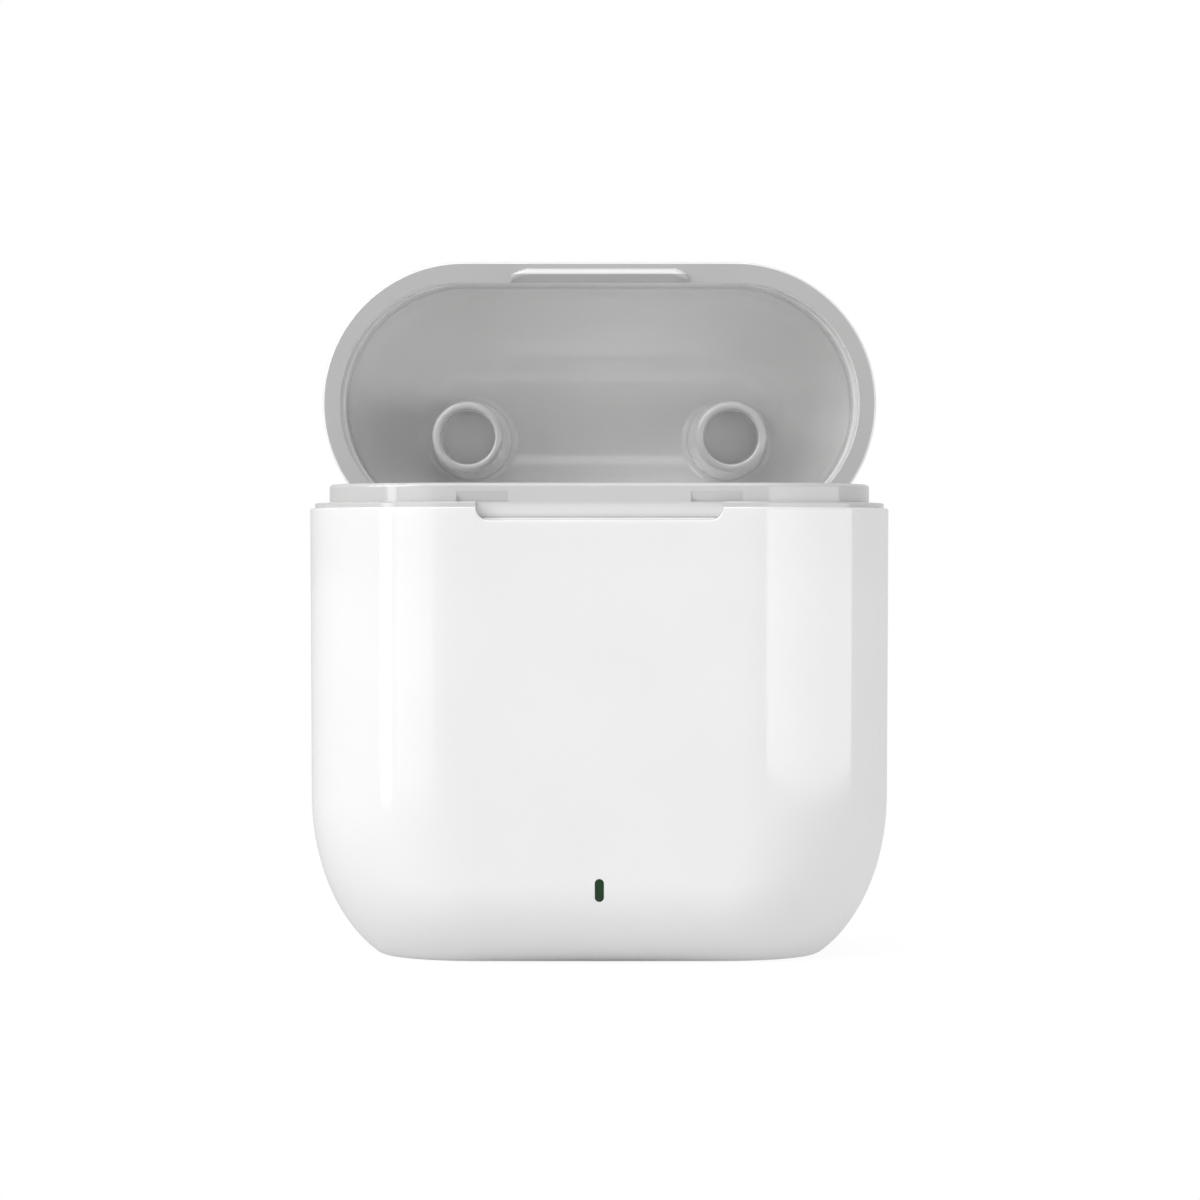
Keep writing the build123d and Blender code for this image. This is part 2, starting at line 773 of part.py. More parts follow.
# ---- earbud charging contacts -----------------------------------------------------
carrier = post(stem_x, 0, well_foot, carrier_top, seat_radius - carrier_gap)
pin_places = [(stem_x, -contact_spacing / 2), (stem_x, contact_spacing / 2)]
barrels = []
for x, y in pin_places:
    tube = post(x, y, carrier_top - barrel_length, carrier_top, barrel_radius)
    carrier -= tube
    bore_floor = carrier_top - barrel_length + 0.3
    barrels.append(tube - post(x, y, bore_floor, carrier_top + 1, barrel_bore_radius))
save("contact_carrier_left", mirror(carrier, Plane.YZ))
save("contact_carrier_right", carrier)
save("contact_barrels", [half for tube in barrels for half in mirrored(tube)])


def contact_pin(x, y):
    """A sprung contact pin with a domed tip."""
    tip = carrier_top + pin_contact_proud
    shaft = post(x, y, tip - pin_contact_length, tip, pin_contact_radius)
    return fillet(shaft.edges().group_by(Axis.Z)[-1], pin_contact_radius * 0.8)


for side_name, side in (("left", -1), ("right", 1)):
    save("contact_pin_" + side_name + "_front", contact_pin(side * stem_x, -contact_spacing / 2))
    save("contact_pin_" + side_name + "_rear", contact_pin(side * stem_x, contact_spacing / 2))

# ---- magnets ----------------------------------------------------------------------
magnet_front = -(skirt_half_depth - skirt_wall - edge_gap)
magnet_top = deck_bottom
magnets = [
    block(
        side * magnet_offset - magnet_width / 2,
        side * magnet_offset + magnet_width / 2,
        magnet_front,
        magnet_front + magnet_thickness,
        magnet_top - magnet_height,
        magnet_top,
    )
    for side in (-1, 1)
]
save("case_magnets", magnets)
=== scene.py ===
"""Looks of a pocket charging case for wireless earbuds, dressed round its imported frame.

The lower shell, the lid and the lid's liner are surfaces worked out here. The other pieces keep
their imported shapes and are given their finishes. Sizes are in millimetres until a mesh is made.
"""

import json
import logging
import math
from dataclasses import dataclass, field
from enum import Enum
from typing import Any, Optional, Sequence, Union

import bmesh
import bpy
import numpy as np
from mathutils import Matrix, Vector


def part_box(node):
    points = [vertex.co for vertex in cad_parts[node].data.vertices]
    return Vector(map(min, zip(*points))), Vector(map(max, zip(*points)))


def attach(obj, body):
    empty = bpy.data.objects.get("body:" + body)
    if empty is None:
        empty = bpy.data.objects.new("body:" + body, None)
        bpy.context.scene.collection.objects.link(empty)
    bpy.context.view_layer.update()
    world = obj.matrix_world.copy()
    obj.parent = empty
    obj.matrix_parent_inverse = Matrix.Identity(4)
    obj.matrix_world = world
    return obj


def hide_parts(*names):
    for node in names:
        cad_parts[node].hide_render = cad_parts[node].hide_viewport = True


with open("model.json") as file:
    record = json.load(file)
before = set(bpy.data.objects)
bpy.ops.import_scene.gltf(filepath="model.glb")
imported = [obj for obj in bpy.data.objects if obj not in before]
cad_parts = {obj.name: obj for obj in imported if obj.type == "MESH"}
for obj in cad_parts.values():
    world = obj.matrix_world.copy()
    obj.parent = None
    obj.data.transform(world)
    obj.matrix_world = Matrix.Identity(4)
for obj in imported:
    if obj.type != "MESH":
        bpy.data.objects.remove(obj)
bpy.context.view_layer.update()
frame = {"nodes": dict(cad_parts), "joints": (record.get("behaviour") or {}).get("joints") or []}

LOG = logging.getLogger("charging_case")
MM = 0.001
SHARP_ANGLE = math.radians(32)
MERGE_DISTANCE = 2e-7
EDGE_STEPS = 7
Number = Union[float, np.ndarray]
Colour = tuple[float, float, float]
Pair = tuple[float, float]
Row = tuple[np.ndarray, np.ndarray, np.ndarray]
Stops = Sequence[tuple[float, Colour]]
WHITE: Colour = (1.0, 1.0, 1.0)


class Body(str, Enum):
    """The moving groups that a piece can ride on."""

    BASE = "base"
    LID = "lid"
    BUTTON = "setup_button"


class Slot(str, Enum):
    """The record's finish slots."""

    SHELL = "shell_white"
    LINER = "liner_white"


# ---- the shader bench ----------------------------------------------------------------------
class Signal:
    """One output socket of a shader graph. Maths on it adds Math nodes."""

    def __init__(self, bench: "Bench", socket: bpy.types.NodeSocket) -> None:
        """Wraps an output socket of the bench's graph."""
        self.bench = bench
        self.socket = socket

    def __add__(self, other: Any) -> "Signal":
        """This value plus another."""
        return self.bench.maths("ADD", self, other)

    def __radd__(self, other: Any) -> "Signal":
        """Another value plus this one."""
        return self.bench.maths("ADD", other, self)

    def __sub__(self, other: Any) -> "Signal":
        """This value less another."""
        return self.bench.maths("SUBTRACT", self, other)

    def __rsub__(self, other: Any) -> "Signal":
        """Another value less this one."""
        return self.bench.maths("SUBTRACT", other, self)

    def __mul__(self, other: Any) -> "Signal":
        """This value times another."""
        return self.bench.maths("MULTIPLY", self, other)


class Bench:
    """A node graph while it is being built, for a material or for the surround."""

    def __init__(self, owner: Union[bpy.types.Material, bpy.types.World]) -> None:
        """Starts an empty graph.

        Args:
            owner: The material or world that holds the graph.
        """
        self.owner = owner
        owner.use_nodes = True
        self.tree = owner.node_tree
        self.tree.nodes.clear()

    @classmethod
    def for_material(cls, name: str) -> "Bench":
        """A bench for a new material of that name."""
        return cls(bpy.data.materials.new(name))

    def node(self, kind: str, settings: Optional[dict] = None, **inputs: Any) -> bpy.types.Node:
        """Adds one node: its settings first, then its sockets.

        Args:
            kind: The node's type.
            settings: The node's own properties; "stops" gives a ramp's positions and colours.
            inputs: Socket values or signals, named as the sockets are with _ for a space.

        Returns:
            The new node.
        """
        made = self.tree.nodes.new(kind)
        for name, value in (settings or {}).items():
            if name == "stops":
                self._set_stops(made, value)
            else:
                setattr(made, name, value)
        for name, value in inputs.items():
            self.feed(made.inputs[name.replace("_", " ")], value)
        return made

    def out(
        self, kind: str, output: Union[int, str] = 0, settings: Optional[dict] = None, **inputs: Any
    ) -> Signal:
        """Adds one node and hands back one of its outputs."""
        return Signal(self, self.node(kind, settings, **inputs).outputs[output])

    def numbered(
        self, kind: str, settings: Optional[dict], values: dict[int, Any], output: int = 0
    ) -> Signal:
        """Adds one node whose sockets share their names, fed by the sockets' numbers.

        Args:
            kind: The node's type.
            settings: The node's own properties.
            values: Each socket's number and its value or signal.
            output: The wanted output's number.

        Returns:
            The node's output.
        """
        made = self.node(kind, settings)
        for number, value in values.items():
            self.feed(made.inputs[number], value)
        return Signal(self, made.outputs[output])

    @staticmethod
    def _set_stops(ramp: bpy.types.Node, stops: Stops) -> None:
        """Gives a colour ramp its stops.

        Args:
            ramp: The ramp's node.
            stops: Each stop's position and colour.
        """
        while len(ramp.color_ramp.elements) < len(stops):
            ramp.color_ramp.elements.new(0.5)
        for element, (position, colour) in zip(ramp.color_ramp.elements, stops):
            element.position = position
            element.color = (*colour, 1.0)

    def feed(self, socket: bpy.types.NodeSocket, value: Any) -> None:
        """Links a signal to a socket, or sets the socket's own value.

        Args:
            socket: The input socket.
            value: A signal, a number, or a colour of three numbers.
        """
        if isinstance(value, Signal):
            self.tree.links.new(value.socket, socket)
        elif socket.type == "RGBA" and len(value) == 3:
            socket.default_value = (*value, 1.0)
        else:
            socket.default_value = value

    def maths(self, operation: str, *values: Any) -> Signal:
        """A Math node's operation on up to three numbers or signals."""
        return self.numbered("ShaderNodeMath", {"operation": operation}, dict(enumerate(values)))

    def blend(self, share: Any, first: Any, second: Any) -> Signal:
        """Two colours mixed, with that share of the second."""
        return self.numbered("ShaderNodeMix", {"data_type": "RGBA"}, {0: share, 6: first, 7: second}, 2)

    def mix_shaders(self, share: Signal, first: Signal, second: Signal) -> Signal:
        """Two shaders mixed, with that share of the second."""
        return self.numbered("ShaderNodeMixShader", None, {0: share, 1: first, 2: second})

    def place(self, scale: Sequence[float] = (1, 1, 1), turn: Sequence[float] = (0, 0, 0)) -> Signal:
        """Object coordinates, scaled along the axes and turned about them, in radians."""
        source = self.out("ShaderNodeTexCoord", "Object")
        point = {"vector_type": "POINT"}
        return self.out("ShaderNodeMapping", 0, point, Vector=source, Rotation=turn, Scale=scale)

    def noise(self, size: float, detail: float = 2.0, where: Optional[Signal] = None) -> Signal:
        """Soft noise round 0.5, with blotches about one size across in millimetres."""
        inputs = {"Vector": where or self.place(), "Scale": 1 / (size * MM), "Detail": detail}
        return self.out("ShaderNodeTexNoise", "Fac", {"noise_dimensions": "3D"}, Roughness=0.55, **inputs)

    def cells(self, size: float, feature: str = "F1", where: Optional[Signal] = None) -> Signal:
        """Distance from a cell's centre or edge, in cells about one size across in millimetres."""
        inputs = {"Vector": where or self.place(), "Scale": 1 / (size * MM)}
        return self.out("ShaderNodeTexVoronoi", "Distance", {"feature": feature}, **inputs)

    def axis(self, name: str, where: Optional[Signal] = None) -> Signal:
        """The X, Y or Z coordinate, in metres for a piece's own."""
        return self.out("ShaderNodeSeparateXYZ", name, Vector=where or self.place())

    def tones(self, value: Signal, low: Colour, high: Colour, ends: Pair = (0.3, 0.7)) -> Signal:
        """A value turned to a blend from one colour to another, between its two ends."""
        return self.out("ShaderNodeValToRGB", "Color", {"stops": list(zip(ends, (low, high)))}, Fac=value)

    def band(self, value: Signal, low: float, high: float) -> Signal:
        """A value's rise from 0 at a low limit to 1 at a high one, eased at both."""
        eased = {"interpolation_type": "SMOOTHSTEP"}
        return self.out("ShaderNodeMapRange", "Result", eased, Value=value, From_Min=low, From_Max=high)

    def bump(self, height: Signal, depth: float) -> Signal:
        """A normal bumped by a height field from 0 to 1, whose full depth is in millimetres."""
        return self.out("ShaderNodeBump", "Normal", Strength=1.0, Distance=depth * MM, Height=height)

    def plain_light(self, strength: float) -> Signal:
        """White light that a surface gives off evenly."""
        return self.out("ShaderNodeEmission", Color=WHITE, Strength=strength)

    def finish(self, **sockets: Any) -> bpy.types.Material:
        """Closes the graph with the surface shader and hands back the material."""
        self.node("ShaderNodeOutputMaterial", Surface=self.out("ShaderNodeBsdfPrincipled", **sockets))
        return self.owner


# ---- finishes ------------------------------------------------------------------------------
def shaded(colour: Colour, factor: float) -> Colour:
    """A colour made darker or lighter by a factor, with no channel past 1."""
    return tuple(min(1.0, channel * factor) for channel in colour)


@dataclass(frozen=True)
class Finish:
    """A named finish. Each kind builds its own material."""

    name: str

    def material(self) -> bpy.types.Material:
        """Builds the finish's material."""
        raise NotImplementedError


@dataclass(frozen=True)
class MouldedPlastic(Finish):
    """Moulded plastic: an even colour with a faint drift, a hazed gloss and a fine orange peel."""

    colour: Colour
    roughness: float = 0.12
    haze: float = 0.05
    drift: float = 0.012
    peel: float = 0.0012
    coat: float = 0.5
    drift_size: float = 9.0
    smear_size: float = 3.5
    smear_edge: Pair = (0.35, 0.8)
    scuff_size: float = 0.35
    scuff_edge: Pair = (0.62, 0.8)
    peel_size: float = 0.9

    def material(self) -> bpy.types.Material:
        """Builds the plastic.

        Returns:
            The material.
        """
        bench = Bench.for_material(self.name)
        dark, light = shaded(self.colour, 1 - self.drift), shaded(self.colour, 1 + self.drift)
        smears = bench.noise(self.smear_size, 4.0, bench.place(scale=(1.0, 1.0, 0.35)))
        scuff_place = bench.place(scale=(1.0, 0.2, 1.0), turn=(0.3, 0.7, 0.2))
        scuffs = bench.noise(self.scuff_size, 2.0, scuff_place)
        smeared = self.roughness + bench.band(smears, *self.smear_edge) * self.haze
        return bench.finish(
            Base_Color=bench.tones(bench.noise(self.drift_size, 3.0), dark, light),
            Roughness=smeared + bench.band(scuffs, *self.scuff_edge) * self.haze,
            Normal=bench.bump(bench.noise(self.peel_size), self.peel),
            Specular_IOR_Level=0.5,
            Coat_Weight=self.coat,
            Coat_Roughness=0.05,
        )


@dataclass(frozen=True)
class BrushedSteel(Finish):
    """Steel with fine brush lines along one axis and a drift of tone."""

    colour: Colour = (0.62, 0.62, 0.63)
    roughness: float = 0.28
    along: int = 0
    line: float = 0.06
    stretch: float = 0.04
    mottle_size: float = 2.5
    relief: float = 0.004

    def material(self) -> bpy.types.Material:
        """Builds the steel.

        Returns:
            The material.
        """
        bench = Bench.for_material(self.name)
        scale = [1.0, 1.0, 1.0]
        scale[self.along] = self.stretch
        lines = bench.noise(self.line, 3.0, bench.place(scale=scale))
        mottle = lines * 0.6 + bench.noise(self.mottle_size) * 0.4
        return bench.finish(
            Base_Color=bench.tones(mottle, shaded(self.colour, 0.8), self.colour),
            Metallic=1.0,
            Roughness=self.roughness + lines * 0.16 - 0.06,
            Normal=bench.bump(lines, self.relief),
        )


@dataclass(frozen=True)
class PlatedMetal(Finish):
    """Plated metal: smooth, with a slight mottle in colour and gloss."""

    colour: Colour
    roughness: float = 0.2
    mottle_size: float = 0.5
    grain_size: float = 0.05
    relief: float = 0.0015

    def material(self) -> bpy.types.Material:
        """Builds the plating.

        Returns:
            The material.
        """
        bench = Bench.for_material(self.name)
        mottle = bench.noise(self.mottle_size, 3.0)
        return bench.finish(
            Base_Color=bench.tones(mottle, shaded(self.colour, 0.82), self.colour),
            Metallic=1.0,
            Roughness=self.roughness + mottle * 0.14,
            Normal=bench.bump(bench.noise(self.grain_size), self.relief),
        )


@dataclass(frozen=True)
class SolderMask(Finish):
    """Green solder mask over copper tracks, with bare gold pads in rows."""

    mask: Colour = (0.012, 0.115, 0.045)
    copper: Colour = (0.03, 0.2, 0.075)
    pad: Colour = (0.83, 0.62, 0.28)
    track: float = 1.1
    track_edge: Pair = (0.06, 0.09)
    pad_pitch: float = 1.6
    pad_edge: Pair = (0.16, 0.18)
    patch_size: float = 2.4
    patch_edge: Pair = (0.56, 0.58)
    relief: float = 0.02

    def material(self) -> bpy.types.Material:
        """Builds the board's surface.

        Returns:
            The material.
        """
        bench = Bench.for_material(self.name)
        where = bench.place()
        tracks = bench.cells(self.track, "DISTANCE_TO_EDGE", where)
        on_track = 1 - bench.band(tracks, *self.track_edge)
        steps = (bench.axis(name, where) * (1 / (self.pad_pitch * MM)) for name in "XZ")
        off_middle = (bench.maths("ABSOLUTE", bench.maths("FRACT", way) - 0.5) for way in steps)
        reach = bench.maths("MAXIMUM", *off_middle)
        chosen = bench.band(bench.noise(self.patch_size, 1.0, where), *self.patch_edge)
        on_pad = (1 - bench.band(reach, *self.pad_edge)) * chosen
        colour = bench.blend(on_pad, bench.blend(on_track, self.mask, self.copper), self.pad)
        return bench.finish(
            Base_Color=colour,
            Metallic=on_pad,
            Roughness=0.34 + on_pad * 0.05 + bench.noise(0.4) * 0.1,
            Normal=bench.bump(on_track + on_pad, self.relief),
        )


@dataclass(frozen=True)
class ChipResin(Finish):
    """Moulded black resin with a fine matt sparkle."""

    colour: Colour = (0.018, 0.018, 0.02)
    roughness: float = 0.5
    grain_size: float = 0.06
    relief: float = 0.006

    def material(self) -> bpy.types.Material:
        """Builds the resin.

        Returns:
            The material.
        """
        bench = Bench.for_material(self.name)
        grain = bench.noise(self.grain_size, 3.0)
        return bench.finish(
            Base_Color=bench.tones(grain, self.colour, shaded(self.colour, 2.1), (0.35, 0.75)),
            Roughness=self.roughness + grain * 0.2 - 0.1,
            Normal=bench.bump(grain, self.relief),
        )


@dataclass(frozen=True)
class LaminateWrap(Finish):
    """The battery's aluminium laminate: satin, slightly crinkled, with a darker folded seam."""

    colour: Colour = (0.66, 0.67, 0.69)
    seam_level: float = 24.6
    seam_width: float = 0.3
    crinkle_size: float = 2.2
    relief: float = 0.09

    def material(self) -> bpy.types.Material:
        """Builds the wrap.

        Returns:
            The material.
        """
        bench = Bench.for_material(self.name)
        where = bench.place()
        crinkle = bench.noise(self.crinkle_size, 4.0, where)
        seam_start = (self.seam_level - self.seam_width) * MM
        seam = bench.band(bench.axis("Z", where), seam_start, self.seam_level * MM)
        return bench.finish(
            Base_Color=bench.blend(seam * 0.5, self.colour, shaded(self.colour, 0.7)),
            Metallic=0.85,
            Roughness=0.38 + crinkle * 0.16,
            Normal=bench.bump(crinkle + seam * 0.6, self.relief),
        )


@dataclass(frozen=True)
class CellFoam(Finish):
    """Black closed-cell foam tape."""

    colour: Colour = (0.03, 0.03, 0.032)
    cell_size: float = 0.22
    relief: float = 0.05

    def material(self) -> bpy.types.Material:
        """Builds the foam.

        Returns:
            The material.
        """
        bench = Bench.for_material(self.name)
        cells = bench.cells(self.cell_size)
        return bench.finish(
            Base_Color=bench.tones(cells, self.colour, shaded(self.colour, 2.4), (0.1, 0.8)),
            Roughness=0.86 + cells * 0.1,
            Normal=bench.bump(cells, self.relief),
        )


@dataclass(frozen=True)
class AmberFilm(Finish):
    """Polyimide film over copper lines that run along the ribbon."""

    film: Colour = (0.48, 0.2, 0.03)
    copper: Colour = (0.62, 0.34, 0.12)
    pitch: float = 0.42
    line_edge: Pair = (0.16, 0.22)
    drift_size: float = 1.3
    relief: float = 0.018

    def material(self) -> bpy.types.Material:
        """Builds the film.

        Returns:
            The material.
        """
        bench = Bench.for_material(self.name)
        across = bench.maths("FRACT", bench.axis("X") * (1 / (self.pitch * MM)))
        line = bench.band(bench.maths("ABSOLUTE", across - 0.5), *self.line_edge)
        drift = bench.noise(self.drift_size)
        return bench.finish(
            Base_Color=bench.blend(line, self.film, self.copper),
            Metallic=0.1 + line * 0.3,
            Roughness=0.26 + drift * 0.14,
            Normal=bench.bump(line + drift * 0.3, self.relief),
        )


@dataclass(frozen=True)
class TintedLight(Finish):
    """The charge light's deep green pipe: tinted, glossy and a little cloudy."""

    deep: Colour = (0.0012, 0.02, 0.0022)
    bright: Colour = (0.002, 0.034, 0.004)
    glow_deep: Colour = (0.0, 0.02, 0.002)
    glow_bright: Colour = (0.0, 0.03, 0.003)
    glow: float = 0.1
    cloud_size: float = 0.35
    relief: float = 0.003

    def material(self) -> bpy.types.Material:
        """Builds the tinted plastic.

        Returns:
            The material.
        """
        bench = Bench.for_material(self.name)
        cloud = bench.noise(self.cloud_size, 2.0)
        return bench.finish(
            Base_Color=bench.tones(cloud, self.deep, self.bright),
            Roughness=0.1 + cloud * 0.08,
            Emission_Color=bench.tones(cloud, self.glow_deep, self.glow_bright),
            Emission_Strength=self.glow,
            Normal=bench.bump(cloud, self.relief),
        )


@dataclass(frozen=True)
class PhosphorBody(Finish):
    """A surface-mounted lamp: a cream housing with a yellow phosphor window."""

    housing: Colour = (0.74, 0.73, 0.68)
    window: Colour = (0.78, 0.66, 0.16)
    centre_level: float = 5.7
    window_edge: Pair = (0.58, 0.66)
    grain_size: float = 0.12
    relief: float = 0.02

    def material(self) -> bpy.types.Material:
        """Builds the lamp's faces.

        Returns:
            The material.
        """
        bench = Bench.for_material(self.name)
        across = bench.maths("ABSOLUTE", bench.axis("X"))
        upward = bench.maths("ABSOLUTE", bench.axis("Z") - self.centre_level * MM)
        reach = bench.maths("MAXIMUM", across * 1.5, upward)
        inside = 1 - bench.band(reach, *(edge * MM for edge in self.window_edge))
        grain = bench.noise(self.grain_size)
        return bench.finish(
            Base_Color=bench.blend(inside, self.housing, self.window),
            Roughness=0.32 + grain * 0.2,
            Normal=bench.bump(grain - inside * 0.6, self.relief),
        )


SHELL_GLOSS = MouldedPlastic("shell_gloss", (0.872, 0.872, 0.87), roughness=0.1, haze=0.05)
# A darker copy of the shell's plastic, not a plastic of its own: painted shade on the lid's rim face, the
# tongue's underside and the posts' tip rings.
RIM_PAINTED_SHADE = MouldedPlastic("rim_painted_shade", (0.5, 0.5, 0.498), roughness=0.16, haze=0.06)
FRAME_GLOSS = MouldedPlastic("frame_gloss", (0.62, 0.62, 0.618), roughness=0.12, haze=0.05)
LINER_GLOSS = MouldedPlastic("liner_gloss", (0.82, 0.82, 0.818), roughness=0.09, haze=0.05)
WELL_GLOSS = MouldedPlastic("well_gloss", (0.7, 0.7, 0.698), roughness=0.22, haze=0.06)
CARRIER_BLACK = MouldedPlastic("carrier_black", (0.03, 0.03, 0.032), 0.42, haze=0.08, peel=0.004)
PLUNGER_DARK = MouldedPlastic("plunger_dark", (0.07, 0.07, 0.075), 0.36, haze=0.08, peel=0.004)
HINGE_STEEL = BrushedSteel("hinge_steel")
SCREW_STEEL = BrushedSteel("screw_steel", colour=(0.52, 0.52, 0.54), roughness=0.24, along=1, line=0.04)
PORT_STEEL = BrushedSteel("port_steel", colour=(0.55, 0.55, 0.57), roughness=0.2, along=2)
CONTACT_GOLD = PlatedMetal("contact_gold", (0.86, 0.62, 0.26), roughness=0.18)
MAGNET_NICKEL = PlatedMetal("magnet_nickel", (0.66, 0.65, 0.62), roughness=0.22)
BOARD_GREEN = SolderMask("board_green")
CHIP_BLACK = ChipResin("chip_black")
BATTERY_WRAP = LaminateWrap("battery_wrap")
TAPE_FOAM = CellFoam("tape_foam")
FLEX_AMBER = AmberFilm("flex_amber")
LIGHT_GREEN = TintedLight("light_green")
LED_BODY = PhosphorBody("led_body")


class FinishShelf:
    """Makes each finish once and hands it out."""

    def __init__(self) -> None:
        """Starts with nothing made."""
        self.made: dict[str, bpy.types.Material] = {}

    def take(self, finish: Finish) -> bpy.types.Material:
        """The material of a finish.

        Args:
            finish: One of the finishes above.

        Returns:
            Its material, built at its first use.
        """
        if finish.name not in self.made:
            self.made[finish.name] = finish.material()
        return self.made[finish.name]

    def dress(self, finish: Finish, *nodes: str) -> None:
        """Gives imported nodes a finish, and reports each.

        Args:
            finish: The finish.
            nodes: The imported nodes' names.
        """
        for node in nodes:
            piece = frame["nodes"][node]
            for place in piece.material_slots:
                place.material = self.take(finish)
            LOG.info("dressed %s in %s", node, finish.name)


# ---- surfaces ------------------------------------------------------------------------------
def quarter_inset(distance: Number, reach: float, drop: float) -> np.ndarray:
    """How far a quarter ellipse has come in: reach times one less the root of one less share squared."""
    share = np.clip(np.asarray(distance, float) / drop, 0, 1)
    return reach * (1 - np.sqrt(1 - share**2))


def quarter_turn(count: int) -> np.ndarray:
    """That many even angles over a quarter turn, both ends included."""
    return np.linspace(0, np.pi / 2, count)


def whole_turn(count: int = 96) -> np.ndarray:
    """That many even angles round a whole turn."""
    return np.linspace(0, 2 * np.pi, count + 1)[:-1]


def stacked(rows: Sequence[Row]) -> Row:
    """Rows of points made one grid."""
    return tuple(np.stack(part) for part in zip(*rows))


@dataclass(frozen=True)
class OvalTrack:
    """Columns round an oval with straight faces and half-round ends, anticlockwise from above."""

    stations: tuple[float, ...]
    straight_half: float
    fixed_half: float = 0.0
    end_steps: int = 48

    def columns(self) -> Row:
        """The columns in order.

        Returns:
            Each column's station along X, and the cosine and sine of its outward direction.
        """
        front = np.array(sorted(self.stations))
        turn = np.linspace(-np.pi / 2, np.pi / 2, self.end_steps + 1)
        ends = np.full(turn.shape, self.straight_half)
        flat = np.zeros(front.shape)
        station = np.concatenate([front, ends, front[::-1], -ends])
        outward_x = np.concatenate([flat, np.cos(turn), flat, -np.cos(turn)])
        outward_y = np.concatenate([flat - 1, np.sin(turn), flat + 1, -np.sin(turn)])
        return station, outward_x, outward_y

    def ring(self, half_width: Number, half_depth: Number) -> tuple[np.ndarray, np.ndarray]:
        """Points of ovals: the station in step with the straight's length, plus the end radius outwards.

        Args:
            half_width: Half the oval's width, one for each row or point.
            half_depth: Half its depth, which is its ends' radius.

        Returns:
            The x and y of each point.
        """
        station, outward_x, outward_y = self.columns()
        reach = np.abs(station)
        beyond = np.maximum(reach - self.fixed_half, 0)
        stretch = (half_width - half_depth - self.fixed_half) / (self.straight_half - self.fixed_half)
        along = np.sign(station) * (np.minimum(reach, self.fixed_half) + beyond * stretch)
        return along + half_depth * outward_x, half_depth * outward_y + 0 * along


class SurfaceSet:
    """Grids of points that become one mesh."""

    def __init__(self) -> None:
        """Starts empty."""
        self.points: list[np.ndarray] = []
        self.faces: list[np.ndarray] = []
        self.finish_index: list[np.ndarray] = []
        self.count = 0

    def add(
        self, x: np.ndarray, y: np.ndarray, z: np.ndarray, finish: Optional[np.ndarray] = None
    ) -> "SurfaceSet":
        """Adds a grid whose columns run round a loop and whose last column joins the first.

        Args:
            x: The points' x, rows by columns.
            y: Their y.
            z: Their z.
            finish: The material index of each face, bands by columns; all 0 if left out.

        Returns:
            This set, for the next call on it.
        """
        grid = np.stack(np.broadcast_arrays(x, y, z), axis=-1)
        rows, columns = grid.shape[:2]
        here = np.arange(rows * columns).reshape(rows, columns) + self.count
        after = np.roll(here, -1, axis=1)
        quads = np.stack([here[:-1], after[:-1], after[1:], here[1:]], axis=-1).reshape(-1, 4)
        bands = np.zeros((rows - 1, columns), int) if finish is None else finish
        self.points.append(grid.reshape(-1, 3))
        self.faces.append(quads)
        self.finish_index.append(bands.reshape(-1))
        self.count += rows * columns
        return self

    def build(self, name: str, materials: Sequence[bpy.types.Material]) -> bpy.types.Object:
        """Makes the mesh in metres, merges what meets, and marks its sharp edges by angle.

        Args:
            name: The piece's name.
            materials: The piece's materials, in the order of the material indices.

        Returns:
            The new object, at the origin.
        """
        mesh = bpy.data.meshes.new(name)
        points, faces = np.concatenate(self.points) * MM, np.concatenate(self.faces)
        mesh.from_pydata(points.tolist(), [], faces.tolist())
        mesh.polygons.foreach_set("material_index", np.concatenate(self.finish_index).astype(np.int32))
        for material in materials:
            mesh.materials.append(material)
        close_up(mesh)
        return add_object(name, mesh)


def add_object(name: str, data: bpy.types.ID) -> bpy.types.Object:
    """Puts a new object in the scene, at the origin.

    Args:
        name: The object's name.
        data: Its mesh, light or camera.

    Returns:
        The object.
    """
    made = bpy.data.objects.new(name, data)
    bpy.context.scene.collection.objects.link(made)
    return made


def close_up(mesh: bpy.types.Mesh, face_out: bool = False) -> None:
    """Merges a mesh's doubles, drops faces with no area and shades it smooth up to the sharp angle.

    Args:
        mesh: The mesh, changed in place.
        face_out: Whether a closed mesh's faces are turned outwards too.
    """
    work = bmesh.new()
    work.from_mesh(mesh)
    bmesh.ops.remove_doubles(work, verts=work.verts, dist=MERGE_DISTANCE)
    bmesh.ops.dissolve_degenerate(work, edges=work.edges, dist=MERGE_DISTANCE)
    if face_out:
        bmesh.ops.recalc_face_normals(work, faces=work.faces)
    work.to_mesh(mesh)
    work.free()
    mesh.polygons.foreach_set("use_smooth", np.ones(len(mesh.polygons), bool))
    mesh.set_sharp_from_angle(angle=SHARP_ANGLE)


def cut(piece: bpy.types.Object, cutters: Sequence[bpy.types.Object]) -> None:
    """Cuts holes in a piece and clears the cutters away.

    Args:
        piece: The piece, whose mesh is replaced.
        cutters: Closed shapes of the holes.
    """
    for cutter in cutters:
        step = piece.modifiers.new(cutter.name, "BOOLEAN")
        step.operation = "DIFFERENCE"
        step.solver = "EXACT"
        step.object = cutter
    graph = bpy.context.evaluated_depsgraph_get()
    done = bpy.data.meshes.new_from_object(piece.evaluated_get(graph))
    piece.modifiers.clear()
    piece.data = done
    for cutter in cutters:
        bpy.data.objects.remove(cutter)
    close_up(done)


def stadium(width: float, height: float, steps: int = 24) -> np.ndarray:
    """A flat outline with round ends: a half circle at each end of a straight, along the first axis.

    Args:
        width: The overall length.
        height: The overall height, which is the ends' diameter.
        steps: Steps round each end.

    Returns:
        The outline's points.
    """
    turn = np.linspace(-np.pi / 2, np.pi / 2, steps + 1)
    radius = height / 2
    right = np.stack([width / 2 - radius + radius * np.cos(turn), radius * np.sin(turn)], axis=-1)
    return np.concatenate([right, -right])


